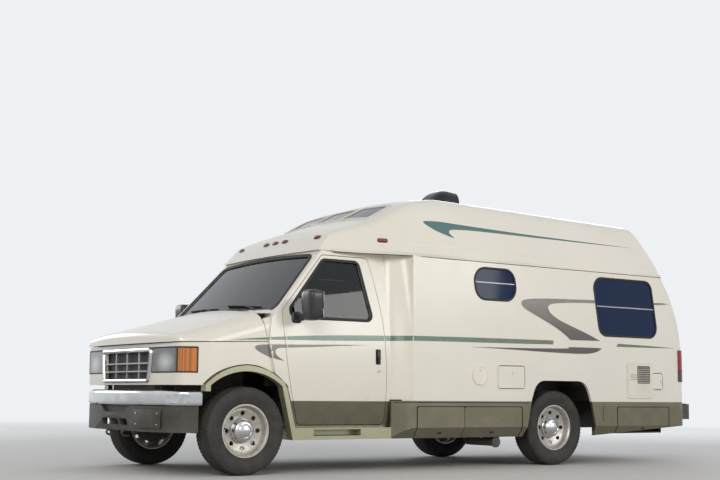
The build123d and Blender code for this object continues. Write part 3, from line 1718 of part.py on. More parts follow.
# Rear bumper
with BuildPart() as rear_bumper:
    with BuildSketch(Plane.XY.offset(rear_bumper_low_z)):
        with Locations((rear_end_x, 0)):
            RectangleRounded(
                reach / 4,
                2 * rear_bumper_half_width,
                coach_corner,
                align=(Align.MIN, Align.CENTER),
            )
        with Locations((rear_end_x + bumper_skin, 0)):
            Rectangle(
                reach,
                2 * (rear_bumper_half_width - bumper_skin),
                align=(Align.MIN, Align.CENTER),
                mode=Mode.SUBTRACT,
            )
        with Locations((coach_rear_x + rear_bumper_wrap, 0)):
            Rectangle(reach, reach, align=(Align.MIN, Align.CENTER), mode=Mode.SUBTRACT)
    extrude(amount=rear_bumper_top_z - rear_bumper_low_z)
    for side in (1, -1):
        with Locations((rail_rear_x, side * rail_y, rail_bottom_z)):
            Box(
                rail_rear_x - rear_end_x - bumper_skin / 2,
                rail_width,
                rear_bumper_top_z - rail_bottom_z,
                align=(Align.MAX, Align.CENTER, Align.MIN),
            )
write(rear_bumper, "rear_bumper")

# Frame rails: channels open towards the middle
with BuildPart() as frame_rails:
    for side in (1, -1):
        with Locations(((rail_front_x + rail_rear_x) / 2, side * rail_y, rail_bottom_z)):
            Box(
                rail_front_x - rail_rear_x,
                rail_width,
                rail_depth,
                align=(Align.CENTER, Align.CENTER, Align.MIN),
            )
        web_y = side * (rail_y - rail_wall)
        with Locations(((rail_front_x + rail_rear_x) / 2, web_y, rail_bottom_z + rail_wall)):
            Box(
                rail_front_x - rail_rear_x,
                rail_width,
                rail_depth - 2 * rail_wall,
                align=(Align.CENTER, Align.CENTER, Align.MIN),
                mode=Mode.SUBTRACT,
            )
write(frame_rails, "frame_rails")

# Crossmembers, with the spring seats, the beam pivots and the hitch receiver
with BuildPart() as frame_cross:
    for behind, length, low_z, high_z in crossmembers:
        with Locations((front_axle_x - behind, 0, low_z)):
            Box(
                length,
                2 * (rail_y - rail_width / 2),
                high_z - low_z,
                align=(Align.CENTER, Align.CENTER, Align.MIN),
            )
    for side in (1, -1):
        with Locations((front_axle_x, side * (rail_y + rail_width / 2), spring_seat_z)):
            Box(
                2 * coil_radius + rail_wall,
                coil_y + coil_radius - rail_y - rail_width / 2,
                spring_seat_thickness,
                align=(Align.CENTER, Align.MIN if side > 0 else Align.MAX, Align.MIN),
            )
        with Locations((front_axle_x + side * beam_offset_x, -side * beam_pivot_y, beam_high_z)):
            Box(
                beam_width,
                beam_width,
                rail_bottom_z - beam_high_z,
                align=(Align.CENTER, Align.CENTER, Align.MIN),
            )
    with Locations(((hitch_front_x + hitch_rear_x) / 2, 0, hitch_z)):
        Box(hitch_front_x - hitch_rear_x, hitch_outer, hitch_outer)
    with Locations((hitch_front_x, 0, hitch_z)):
        Box(
            hitch_plate_length,
            hitch_outer,
            rail_bottom_z - hitch_z,
            align=(Align.MAX, Align.CENTER, Align.MIN),
        )
    with Locations(((hitch_front_x + hitch_rear_x) / 2 - hitch_plate_length / 2, 0, hitch_z)):
        Box(hitch_front_x - hitch_rear_x, hitch_inner, hitch_inner, mode=Mode.SUBTRACT)
    with Locations((hitch_rear_x + hitch_pin_setback, 0, hitch_z)):
        Cylinder(hitch_pin_bore / 2, 2 * hitch_outer, rotation=(90, 0, 0), mode=Mode.SUBTRACT)
write(frame_cross, "crossmembers")

# Front axle: crossed beams with an eye round each kingpin, and their radius arms
with BuildPart() as front_axle:
    for side in (1, -1):
        with BuildSketch(Plane.XY.offset(beam_low_z)):
            with BuildLine():
                Polyline(
                    (front_axle_x, side * kingpin_y),
                    (front_axle_x, side * beam_jog_outer_y),
                    (front_axle_x + side * beam_offset_x, side * beam_jog_inner_y),
                    (front_axle_x + side * beam_offset_x, -side * (beam_pivot_y + beam_width / 2)),
                )
            trace(line_width=beam_width)
        extrude(amount=beam_high_z - beam_low_z)
        with BuildSketch(Plane.XY.offset(arm_low_z)):
            with BuildLine():
                Line((front_axle_x, side * arm_front_y), (arm_rear_x, side * arm_rear_y))
            trace(line_width=arm_width)
        extrude(amount=arm_high_z - arm_low_z)
        with Locations((arm_rear_x, side * arm_rear_y, arm_low_z)):
            Box(arm_width, arm_width, rail_bottom_z - arm_low_z, align=(Align.MIN, Align.CENTER, Align.MIN))
        with Locations((front_axle_x, side * kingpin_y, axle_z)):
            Cylinder(knuckle_radius, knuckle_height - 2 * (knuckle_ear + beam_eye_gap))
            Cylinder(kingpin_radius + kingpin_clearance, reach, mode=Mode.SUBTRACT)
write(front_axle, "front_axle")


def stub(side, wheel_x, half_track):
    """Brake backing plate and the spindle that a wheel turns on, pointing outwards."""
    with BuildPart() as end:
        with BuildSketch(Plane.XY) as profile:
            with BuildLine():
                Polyline(
                    (0, half_track - brake_inner),
                    (brake_radius, half_track - brake_inner),
                    (brake_radius, half_track - brake_outer - brake_chamfer),
                    (brake_radius - brake_chamfer, half_track - brake_outer),
                    (spindle_root_radius, half_track - brake_outer),
                    (spindle_root_radius, half_track - hub_rear - hub_gap),
                    (spindle_radius, half_track - hub_rear - hub_gap),
                    (spindle_radius, half_track + spindle_tip),
                    (0, half_track + spindle_tip),
                    close=True,
                )
            make_face()
        revolve(axis=Axis.Y)
    placed = end.part if side > 0 else end.part.mirror(Plane.XZ)
    return placed.moved(Location((wheel_x, 0, axle_z)))


# Knuckles: two ears on a kingpin, joined outside the beam's eye by a web with the spindle
for side, name in ((1, "left"), (-1, "right")):
    with BuildPart() as knuckle:
        add(stub(side, front_axle_x, front_track / 2))
        web_inner_y = kingpin_y + knuckle_radius + web_gap
        web_depth = front_track / 2 - brake_inner - web_inner_y
        with Locations((front_axle_x, side * web_inner_y, axle_z)):
            Box(
                2 * knuckle_radius,
                web_depth + brake_chamfer,
                knuckle_height,
                align=(Align.CENTER, Align.MIN if side > 0 else Align.MAX, Align.CENTER),
            )
        for end in (1, -1):
            ear_z = axle_z + end * (knuckle_height - knuckle_ear) / 2
            with Locations((front_axle_x, side * kingpin_y, ear_z)):
                Cylinder(knuckle_radius, knuckle_ear)
                Box(
                    2 * knuckle_radius,
                    web_inner_y - kingpin_y,
                    knuckle_ear,
                    align=(Align.CENTER, Align.MIN if side > 0 else Align.MAX, Align.CENTER),
                )
        with Locations((front_axle_x, side * kingpin_y, axle_z)):
            Cylinder(kingpin_radius, knuckle_height)
    write(knuckle, f"knuckle_{name}")

# Rim: one turned profile with a well, a raised disc, hand holes, a hub and its cap
dome_radius = (cap_radius**2 + cap_rise**2) / (2 * cap_rise)
dome_angle = asin(cap_radius / dome_radius)
dome_mid_radius = dome_radius * sin(dome_angle / 2)
dome_mid = cap_foot + cap_rise - dome_radius * (1 - cos(dome_angle / 2))
with BuildPart() as rim:
    half = rim_width / 2
    bed = rim_radius - rim_lip
    with BuildSketch(Plane.XY):
        with BuildLine():
            Polyline(
                (rim_radius, -half),
                (rim_radius, half),
                (rim_radius - rim_lip, half),
                (bed - rim_wall, half - rim_lip),
                (bed - rim_wall - rim_lip, disc_offset),
                (disc_bend_radius, disc_offset),
                (cap_radius + disc_thickness, disc_offset - disc_dish),
                (cap_radius, disc_offset - disc_dish),
                (cap_radius, cap_foot),
            )
            ThreePointArc((cap_radius, cap_foot), (dome_mid_radius, dome_mid), (0, cap_foot + cap_rise))
            Polyline(
                (0, cap_foot + cap_rise),
                (0, spindle_tip + hub_gap),
                (spindle_radius + hub_bore_clearance, spindle_tip + hub_gap),
                (spindle_radius + hub_bore_clearance, -hub_rear),
                (hub_radius, -hub_rear),
                (hub_radius, disc_offset - disc_dish - disc_thickness),
                (disc_bend_radius, disc_offset - disc_thickness),
                (bed - rim_wall - rim_lip, disc_offset - disc_thickness),
                (bed - rim_wall, -half + rim_lip),
                (rim_radius - rim_lip, -half),
                (rim_radius, -half),
            )
        make_face()
    revolve(axis=Axis.Y)
    with Locations(Plane.XZ):
        with PolarLocations(hand_hole_circle, hand_hole_count):
            Cylinder(hand_hole_radius, rim_width, mode=Mode.SUBTRACT)

# Tyre: one turned profile with flat tread, rounded shoulders and bulging walls
with BuildPart() as tyre:
    half = tyre_width / 2
    with BuildSketch(Plane.XY):
        with BuildLine():
            Line((rim_radius, -rim_width / 2), (tyre_bead_radius, -rim_width / 2 - tyre_bead))
            ThreePointArc(
                (tyre_bead_radius, -rim_width / 2 - tyre_bead),
                ((tyre_bead_radius + tyre_radius - tyre_shoulder) / 2, -half),
                (tyre_radius - tyre_shoulder, -half + tyre_bead / 2),
            )
            ThreePointArc(
                (tyre_radius - tyre_shoulder, -half + tyre_bead / 2),
                (tyre_radius - tyre_shoulder / 4, -half + tyre_shoulder / 2),
                (tyre_radius, -half + tyre_shoulder),
            )
            Line((tyre_radius, -half + tyre_shoulder), (tyre_radius, half - tyre_shoulder))
            ThreePointArc(
                (tyre_radius, half - tyre_shoulder),
                (tyre_radius - tyre_shoulder / 4, half - tyre_shoulder / 2),
                (tyre_radius - tyre_shoulder, half - tyre_bead / 2),
            )
            ThreePointArc(
                (tyre_radius - tyre_shoulder, half - tyre_bead / 2),
                ((tyre_bead_radius + tyre_radius - tyre_shoulder) / 2, half),
                (tyre_bead_radius, rim_width / 2 + tyre_bead),
            )
            Line((tyre_bead_radius, rim_width / 2 + tyre_bead), (rim_radius, rim_width / 2))
            Line((rim_radius, rim_width / 2), (rim_radius, -rim_width / 2))
        make_face()
    revolve(axis=Axis.Y)

# Wheels: name, x, signed half track
wheels = [
    ("front_left", front_axle_x, front_track / 2),
    ("front_right", front_axle_x, -front_track / 2),
    ("rear_left", rear_axle_x, rear_track / 2),
    ("rear_right", rear_axle_x, -rear_track / 2),
]
for name, wheel_x, wheel_y_place in wheels:
    for shape, kind in ((rim, "rim"), (tyre, "tyre")):
        with BuildPart() as placed_wheel:
            turned = shape.part if wheel_y_place > 0 else shape.part.mirror(Plane.XZ)
            add(turned.moved(Location((wheel_x, wheel_y_place, axle_z))))
        write(placed_wheel, f"{kind}_{name}")

# Coil springs: rings of wire round a damper tube
with BuildPart() as springs:
    coil_height = spring_seat_z - beam_high_z
    with BuildPart(mode=Mode.PRIVATE) as coil:
        Cylinder(coil_radius - 3 * coil_wire, coil_height, align=(Align.CENTER, Align.CENTER, Align.MIN))
        for turn in range(coil_turns):
            with Locations((0, 0, (turn + 0.5) * coil_height / coil_turns)):
                Cylinder(coil_radius, 2 * coil_wire)
    for side in (1, -1):
        add(coil.part.moved(Location((front_axle_x, side * coil_y, beam_high_z))))
    # Leaf springs with a hanger at each end
    with BuildSketch(Plane.XZ) as leaf_side:
        with BuildLine():
            low = ThreePointArc(
                (rear_axle_x - leaf_half_length, leaf_low_z + leaf_rise),
                (rear_axle_x, leaf_low_z),
                (rear_axle_x + leaf_half_length, leaf_low_z + leaf_rise),
            )
            Line(low @ 1, (rear_axle_x + leaf_half_length, leaf_low_z + leaf_rise + leaf_thickness / 2))
            ThreePointArc(
                (rear_axle_x + leaf_half_length, leaf_low_z + leaf_rise + leaf_thickness / 2),
                (rear_axle_x, leaf_low_z + leaf_thickness),
                (rear_axle_x - leaf_half_length, leaf_low_z + leaf_rise + leaf_thickness / 2),
            )
            Line((rear_axle_x - leaf_half_length, leaf_low_z + leaf_rise + leaf_thickness / 2), low @ 0)
        make_face()
    for side in (1, -1):
        inner_y = leaf_y - leaf_width / 2
        add(side_blocks(leaf_side.sketch, inner_y, inner_y + leaf_width, (side,)))
        for end in (1, -1):
            hanger_x = rear_axle_x + end * (leaf_half_length - leaf_hanger / 2)
            with Locations((hanger_x, side * (rail_y + rail_width / 2), leaf_low_z + leaf_rise)):
                Box(
                    leaf_hanger,
                    inner_y + leaf_width - rail_y - rail_width / 2,
                    rail_top_z - leaf_low_z - leaf_rise - leaf_hanger_width,
                    align=(Align.CENTER, Align.MIN if side > 0 else Align.MAX, Align.MIN),
                )
write(springs, "springs")

# Rear axle: tube, differential and the stubs for the wheels
with BuildPart() as rear_axle:
    with BuildSketch(Plane.XY):
        with BuildLine():
            half = rear_track / 2 - brake_inner
            Polyline(
                (0, -half),
                (axle_tube_radius, -half),
                (axle_tube_radius, -diff_half_width),
                (diff_radius, -diff_half_width / 3),
                (diff_radius, diff_half_width / 3),
                (axle_tube_radius, diff_half_width),
                (axle_tube_radius, half),
                (0, half),
                close=True,
            )
        make_face()
    revolve(axis=Axis.Y)
    rear_axle_tube = rear_axle.part.moved(Location((rear_axle_x, 0, axle_z)))
with BuildPart() as rear_axle:
    add(rear_axle_tube)
    for side in (1, -1):
        add(stub(side, rear_axle_x, rear_track / 2))
    # Spring pads under the leaves
    for side in (1, -1):
        with Locations((rear_axle_x, side * leaf_y, axle_z)):
            Box(
                2 * axle_tube_radius,
                leaf_width,
                axle_tube_radius,
                align=(Align.CENTER, Align.CENTER, Align.MIN),
            )
write(rear_axle, "rear_axle")

# Engine as one plain block, with the gearbox and the shaft to the rear axle
with BuildPart() as engine:
    with Locations(((engine_front_x + engine_rear_x) / 2, 0, engine_low_z)):
        Box(
            engine_front_x - engine_rear_x,
            2 * engine_half_width,
            engine_high_z - engine_low_z,
            align=(Align.CENTER, Align.CENTER, Align.MIN),
        )
    for start_x, start_z, start_radius, end_x, end_z, end_radius in (
        (
            engine_rear_x,
            gearbox_front_z,
            gearbox_front_radius,
            gearbox_rear_x,
            shaft_front_z,
            gearbox_rear_radius,
        ),
        (gearbox_rear_x, shaft_front_z, shaft_radius, shaft_rear_x, axle_z, shaft_radius),
    ):
        with BuildSketch(Plane.YZ.offset(start_x)):
            with Locations((0, start_z)):
                Circle(start_radius)
        with BuildSketch(Plane.YZ.offset(end_x)):
            with Locations((0, end_z)):
                Circle(end_radius)
        loft(ruled=True)
write(engine, "engine")

# Radiator behind the grille
with BuildPart() as radiator:
    with Locations(((radiator_front_x + radiator_rear_x) / 2, 0, rail_top_z)):
        Box(
            radiator_front_x - radiator_rear_x,
            2 * radiator_half_width,
            radiator_high_z - rail_top_z,
            align=(Align.CENTER, Align.CENTER, Align.MIN),
        )
write(radiator, "radiator")

# Exhaust with its muffler and hanger
with BuildPart() as exhaust:
    with BuildLine() as exhaust_path:
        FilletPolyline(
            (exhaust_front_x, exhaust_y, engine_low_z),
            (exhaust_front_x, exhaust_y, exhaust_z),
            (exhaust_rear_x, exhaust_y, exhaust_z),
            (exhaust_rear_x, exhaust_tip_y, exhaust_tip_z),
            radius=exhaust_bend / 2,
        )
    with BuildSketch(Plane(origin=exhaust_path.line @ 0, z_dir=exhaust_path.line % 0)):
        Circle(exhaust_radius)
    sweep()
    with BuildSketch(Plane.XY) as muffler_profile:
        with BuildLine():
            Polyline(
                (muffler_rear_x, 0),
                (muffler_rear_x, muffler_radius - muffler_end / 2),
                (muffler_rear_x + muffler_end, muffler_radius),
                (muffler_front_x - muffler_end, muffler_radius),
                (muffler_front_x, muffler_radius - muffler_end / 2),
                (muffler_front_x, 0),
                close=True,
            )
        make_face()
    with BuildPart(mode=Mode.PRIVATE) as muffler:
        add(muffler_profile.sketch)
        revolve(axis=Axis.X)
    add(muffler.part.moved(Location((0, exhaust_y, exhaust_z))))
    with Locations((front_axle_x - crossmembers[3][0], exhaust_y, exhaust_z)):
        Box(
            leaf_hanger_width,
            leaf_hanger_width,
            crossmembers[3][2] - exhaust_z,
            align=(Align.CENTER, Align.CENTER, Align.MIN),
        )
write(exhaust, "exhaust")

# Fuel tank under the tail, waste tank with its outlet on the left
with BuildPart() as tanks:
    with Locations(((fuel_tank_front_x + fuel_tank_rear_x) / 2, 0, fuel_tank_low_z)):
        Box(
            fuel_tank_front_x - fuel_tank_rear_x,
            2 * fuel_tank_half_width,
            crossmembers[4][2] - fuel_tank_low_z,
            align=(Align.CENTER, Align.CENTER, Align.MIN),
        )
    fillet(tanks.edges().filter_by(Axis.Y).group_by(Axis.Z)[0], tank_corner)
    with Locations(
        ((waste_tank_front_x + waste_tank_rear_x) / 2, waste_tank_inner_y, waste_tank_low_z)
    ):
        Box(
            waste_tank_front_x - waste_tank_rear_x,
            waste_tank_outer_y - waste_tank_inner_y,
            floor_bottom_z - waste_tank_low_z,
            align=(Align.CENTER, Align.MIN, Align.MIN),
        )
    with Locations((outlet_x, outlet_y, outlet_z)):
        Cylinder(outlet_radius, waste_tank_low_z - outlet_z, align=(Align.CENTER, Align.CENTER, Align.MIN))
        Sphere(outlet_radius)
    with Locations((outlet_x, outlet_y, outlet_z)):
        Cylinder(
            outlet_radius,
            outlet_tip_y - outlet_y,
            rotation=(-90, 0, 0),
            align=(Align.CENTER, Align.CENTER, Align.MIN),
        )
    with Locations((outlet_x, outlet_tip_y, outlet_z)):
        Cylinder(
            outlet_radius + outlet_flange,
            2 * outlet_flange,
            rotation=(-90, 0, 0),
            align=(Align.CENTER, Align.CENTER, Align.MAX),
        )
write(tanks, "tanks")

# Dashboard with the engine's cover and the steering column
column_axis = (-cos(column_tilt), 0, sin(column_tilt))
column_plane = Plane(
    origin=(wheel_centre_x, wheel_y, wheel_centre_z),
    x_dir=(0, 1, 0),
    z_dir=column_axis,
)
with BuildPart() as dashboard:
    with BuildSketch(Plane.XZ):
        with BuildLine():
            Polyline(*[(dash_front_x - back, height) for back, height in dash_profile], close=True)
        make_face()
    extrude(amount=dash_half_width, both=True)
    with BuildSketch(Plane.XZ):
        with BuildLine():
            Polyline(
                (firewall_x, toe_board_z),
                (firewall_x - toe_board_run, floor_top_z),
                (engine_cover_rear_x, floor_top_z),
                (engine_cover_rear_x, engine_cover_z - engine_cover_step),
                (engine_cover_rear_x + engine_cover_step, engine_cover_z),
                (firewall_x - toe_board_run, engine_cover_z + engine_cover_step),
                (firewall_x, engine_cover_z + engine_cover_step),
                close=True,
            )
        make_face()
    extrude(amount=engine_cover_half_width, both=True)
    with BuildSketch(column_plane.offset(-wheel_hub_depth - column_gap - column_length)):
        Circle(column_radius)
    extrude(amount=column_length)
write(dashboard, "dashboard")

# Steering wheel: a ring on three spokes
with BuildPart() as steering_wheel:
    with BuildPart(mode=Mode.PRIVATE) as flat_wheel:
        Torus(wheel_ring_radius, wheel_grip_radius)
        with Locations((0, 0, 0)):
            Cylinder(wheel_hub_radius, wheel_hub_depth, align=(Align.CENTER, Align.CENTER, Align.MAX))
        with BuildSketch(Plane.XY.offset(-wheel_grip_radius)):
            with PolarLocations(0, wheel_spoke_count, start_angle=180):
                Rectangle(wheel_ring_radius, wheel_spoke_width, align=(Align.MIN, Align.CENTER))
        extrude(amount=wheel_grip_radius)
    add(flat_wheel.part.moved(column_plane.location))
write(steering_wheel, "steering_wheel")

# Cab seats: base, cushion, leaning back and headrest
with BuildPart() as cab_seats:
    for side in (1, -1):
        with BuildSketch(Plane.XZ.offset(-side * seat_y)):
            with BuildLine():
                back_foot_x = seat_rear_x + seat_back_depth
                Polyline(
                    (seat_front_x - seat_back_depth / 2, floor_top_z),
                    (seat_front_x - seat_back_depth / 2, seat_base_z),
                    (seat_front_x, seat_base_z),
                    (seat_front_x, seat_cushion_z),
                    (back_foot_x, seat_cushion_z - wheel_grip_radius),
                    (back_foot_x - seat_back_lean, seat_back_z),
                    (seat_rear_x - seat_back_lean, seat_back_z),
                    (seat_rear_x, seat_base_z),
                    (seat_rear_x + seat_back_depth, floor_top_z),
                    close=True,
                )
            make_face()
        extrude(amount=seat_half_width, both=True)
        with BuildSketch(Plane.XZ.offset(-side * seat_y)):
            with Locations((seat_rear_x - seat_back_lean + headrest_depth / 2, seat_back_z)):
                Rectangle(headrest_depth, headrest_z - seat_back_z, align=(Align.CENTER, Align.MIN))
        extrude(amount=headrest_half_width, both=True)
write(cab_seats, "cab_seats")

# Cabinets along both walls and, above the windows, under the roof
def cabinet_row(side, front, rear, inner_y, low_z, high_z):
    """One row of cabinets, its doors parted by grooves."""
    doors = round((rear - front) / cabinet_door_pitch)
    with BuildPart() as row:
        with Locations((front_axle_x - front, side * inner_y, low_z)):
            Box(
                rear - front,
                cabinet_outer_y - inner_y,
                high_z - low_z,
                align=(Align.MAX, Align.MIN if side > 0 else Align.MAX, Align.MIN),
            )
        for number in range(1, doors):
            groove_x = front_axle_x - front - number * (rear - front) / doors
            with Locations((groove_x, side * inner_y, (low_z + high_z) / 2)):
                Box(
                    cabinet_groove,
                    2 * cabinet_groove,
                    high_z - low_z - 2 * cabinet_door_margin,
                    mode=Mode.SUBTRACT,
                )
    return row.part


with BuildPart() as roof_cabinets:
    for row in roof_cabinets_table:
        add(cabinet_row(*row))
    add(roof_space.part, mode=Mode.INTERSECT)

with BuildPart() as cabinets:
    for row in cabinets_table:
        add(cabinet_row(*row))
    add(roof_cabinets.part)
write(cabinets, "cabinets")

# Rear sofa
with BuildPart() as rear_sofa:
    with BuildSketch(Plane.XZ):
        with BuildLine():
            Polyline(
                (sofa_front_x - wheel_box_wall, floor_top_z),
                (sofa_front_x - wheel_box_wall, sofa_base_z),
                (sofa_front_x, sofa_base_z),
                (sofa_front_x, sofa_cushion_z),
                (sofa_rear_x + sofa_back_depth, sofa_cushion_z),
                (sofa_rear_x + sofa_back_depth, sofa_back_z),
                (sofa_rear_x, sofa_back_z),
                (sofa_rear_x, floor_top_z),
                close=True,
            )
        make_face()
    extrude(amount=sofa_half_width, both=True)
write(rear_sofa, "rear_sofa")
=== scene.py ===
import math

import bmesh
import bpy
from mathutils import Matrix, Vector
from mathutils.bvhtree import BVHTree
from mathutils.geometry import delaunay_2d_cdt


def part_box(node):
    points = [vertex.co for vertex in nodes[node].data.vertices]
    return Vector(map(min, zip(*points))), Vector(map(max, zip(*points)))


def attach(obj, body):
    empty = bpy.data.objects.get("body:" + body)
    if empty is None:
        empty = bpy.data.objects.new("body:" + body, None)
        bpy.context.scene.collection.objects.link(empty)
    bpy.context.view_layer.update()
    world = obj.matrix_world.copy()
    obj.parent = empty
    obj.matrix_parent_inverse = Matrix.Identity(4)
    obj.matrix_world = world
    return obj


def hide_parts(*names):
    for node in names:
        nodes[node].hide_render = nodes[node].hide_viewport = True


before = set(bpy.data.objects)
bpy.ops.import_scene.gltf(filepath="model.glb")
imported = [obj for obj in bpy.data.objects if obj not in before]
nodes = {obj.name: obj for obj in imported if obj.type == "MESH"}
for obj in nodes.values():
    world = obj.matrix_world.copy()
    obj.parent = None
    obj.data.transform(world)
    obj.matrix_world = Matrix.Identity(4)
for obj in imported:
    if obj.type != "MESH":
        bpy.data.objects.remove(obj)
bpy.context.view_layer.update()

# Places in metres: X runs forward, Y to the left, Z up from the ground
FRONT_AXLE = (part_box("rim_front_left")[0].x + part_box("rim_front_left")[1].x) / 2
REAR_AXLE = (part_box("rim_rear_left")[0].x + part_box("rim_rear_left")[1].x) / 2
COACH_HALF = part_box("coach_body")[1].y
CAB_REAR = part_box("cab_body")[0].x
PROUD = 0.0012
SIDES = ((1, "left"), (-1, "right"))
WHEELS = ("front_left", "front_right", "rear_left", "rear_right")
UP = Vector((0, 0, 1))


# Shader nodes as recipes, which make a node in a tree and give its output
def fill(made, inputs):
    """Links recipes to a node's inputs, or sets their values."""
    for key, value in inputs.items():
        socket = made.inputs[key]
        if callable(value):
            made.id_data.links.new(value(made.id_data), socket)
        elif socket.type == "RGBA":
            socket.default_value = (*value, 1)
        else:
            socket.default_value = value


def node(kind, inputs=(), output=0, **settings):
    """A recipe for a node, which is made once in each tree that asks for it."""
    built = {}

    def recipe(tree):
        if tree not in built:
            made = tree.nodes.new("ShaderNode" + kind)
            for setting, value in settings.items():
                setattr(made, setting, value)
            fill(made, dict(inputs))
            built[tree] = made.outputs[output]
        return built[tree]

    return recipe


def along(letter):
    """The place along one axis, in metres."""
    return node("SeparateXYZ", {0: PLACE}, letter)


PLACE = node("TexCoord", output="Object")
HEIGHT = along("Z")
ASIDE = node("Math", {0: along("Y")}, operation="ABSOLUTE")


def noise(scale, detail=3.0, stretch=(1, 1, 1)):
    """Noise from 0 to 1, with features of about 1/scale metres."""
    at = node("Mapping", {"Scale": stretch, "Vector": PLACE})
    return node("TexNoise", {"Scale": scale, "Detail": detail, "Vector": at})


def waves(direction, scale, distortion=0.0):
    """Straight waves across one axis."""
    inputs = {"Scale": scale, "Distortion": distortion, "Vector": PLACE}
    return node("TexWave", inputs, "Fac", bands_direction=direction)


def ramp(value, low, high, to_low=0.0, to_high=1.0):
    """A value carried from one range to another and clamped."""
    ends = {"From Min": low, "From Max": high, "To Min": to_low, "To Max": to_high}
    return node("MapRange", {"Value": value, **ends}, "Result")


def patches(scale, detail, *ends):
    """Noise carried to another range."""
    return ramp(noise(scale, detail), *ends)


def times(first, second):
    return node("Math", {0: first, 1: second}, operation="MULTIPLY")


def blend(factor, first, second):
    """Two colours mixed by a factor."""
    return node("Mix", {"Factor": factor, 6: first, 7: second}, 2, data_type="RGBA")


def shade(color, factor):
    return tuple(channel * factor for channel in color)


# Materials
DUST = (0.30, 0.24, 0.17)
BRAKE_DUST = (0.20, 0.15, 0.11)
RUST = (0.16, 0.085, 0.045)
CREAM = (0.78, 0.745, 0.665)
OLIVE = (0.125, 0.120, 0.078)
CHAMPAGNE = (0.335, 0.335, 0.225)
# Near black, for the painted shade inside the wheel arches.
ARCH_SHADE = (0.022, 0.021, 0.020)
SILVER = (0.50, 0.485, 0.45)
AMBER = (0.85, 0.255, 0.010)
BREAK_Z = 0.614
LAMP_SPLIT_Y = 0.8945
# Middle of each headlamp, where its painted reflection is brightest.
LAMP_Y = 0.72
LAMP_Z = 0.925


def material(name, color, roughness, metallic=0.0, relief=(), **sockets):
    """A new material; relief has rows of a recipe, its strength and its depth in metres."""
    made = bpy.data.materials.new(name)
    made.use_nodes = True
    shader = made.node_tree.nodes["Principled BSDF"]
    fill(shader, {"Base Color": color, "Roughness": roughness, "Metallic": metallic})
    fill(shader, {key.replace("_", " "): value for key, value in sockets.items()})
    below = {}
    for value, strength, depth in relief:
        below = {"Normal": node("Bump", {"Height": value, "Strength": strength, "Distance": depth, **below})}
    fill(shader, below)
    return made


def weathered(color, variation, dust):
    """A colour with soft patches, and road dust that thins out with height."""
    mottled = blend(patches(1.6, 5, 0.35, 0.65), shade(color, 1 - variation), shade(color, 1 + variation))
    low = ramp(HEIGHT, 0.25, 0.95, dust, dust * 0.08)
    return blend(times(low, patches(7, 8, 0.30, 0.72)), mottled, DUST)


def arch_shaded(color, half_width, rear, front):
    """A colour that turns near black low down inside the shell, in the wheel arches: painted shade."""
    inside = times(ramp(ASIDE, half_width + 0.001, half_width), ramp(HEIGHT, 1.021, 1.020))
    between = times(ramp(along("X"), front + 0.01, front), ramp(along("X"), rear - 0.01, rear))
    return blend(times(inside, between), color, ARCH_SHADE)


def paint(name, color, base=None, coat=0.6, dust=0.10, roughness=0.30, relief=(), **sockets):
    """Gloss paint with a faint orange peel."""
    sockets |= {"Base_Color": base or weathered(color, 0.018, dust)}
    sockets |= {"Coat_Weight": coat, "Coat_Roughness": 0.16}
    rough = patches(4, 6, 0.3, 0.7, roughness * 0.85, roughness * 1.2)
    peel = (noise(240, 2), 0.02, 0.001)
    return material(name, color, roughness, 0, (peel, *relief), Roughness=rough, **sockets)


def fading_paint(name, first, second, letter, start, stop):
    """Gloss paint that fades from one colour to another along an axis."""
    base = blend(ramp(along(letter), start, stop), first, second)
    return paint(name, first, blend(patches(24, 7, 0.35, 0.7, 0.0, 0.35), base, shade(second, 1.6)))


def metallic_paint(name, color, roughness=0.36):
    """Pewter-like paint with fine flake."""
    base = weathered(color, 0.04, 0.30)
    flaked = blend(patches(900, 2, 0.35, 0.65), base, node("HueSaturation", {"Value": 1.25, "Color": base}))
    relief = ((noise(260, 2), 0.03, 0.001),)
    return material(name, color, roughness, 0.55, relief, Base_Color=flaked, Coat_Weight=0.5)


def gelcoat(name, base=None):
    """The coach's moulded skin: glossy, with a slow waviness."""
    return paint(name, CREAM, base, 0.5, 0.09, 0.33, ((noise(2.2, 2), 0.12, 0.004),))


def plastic(name, color, roughness=0.55, grain=900, depth=0.12, dust=0.25):
    """Moulded plastic with a fine grain."""
    relief = ((noise(grain, 3), depth, 0.0008),)
    base = weathered(color, 0.10, dust)
    return material(name, color, roughness, 0, relief, Base_Color=base, Specular_IOR_Level=0.4)


def bare_metal(name, color, roughness, dirt):
    """Cast, painted or raw steel from under the van, with dirt and rust bloom."""
    rusty = blend(times(patches(11, 9, 0.48, 0.72), dirt), weathered(color, 0.15, 0.55), RUST)
    return material(name, color, roughness, 0.45, ((noise(160, 6), 0.25, 0.002),), Base_Color=rusty)


def lens(name, color, pitch, clear):
    """A moulded lens with fine flutes."""
    cells = node("TexVoronoi", {"Scale": pitch * 2.2, "Vector": PLACE}, "Distance")
    sockets = {"Transmission_Weight": clear, "IOR": 1.49, "Coat_Weight": 0.25}
    base = blend(cells, color, shade(color, 0.62))
    return material(name, color, 0.16, 0, ((waves("Z", pitch), 0.4, 0.0015),), Base_Color=base, **sockets)


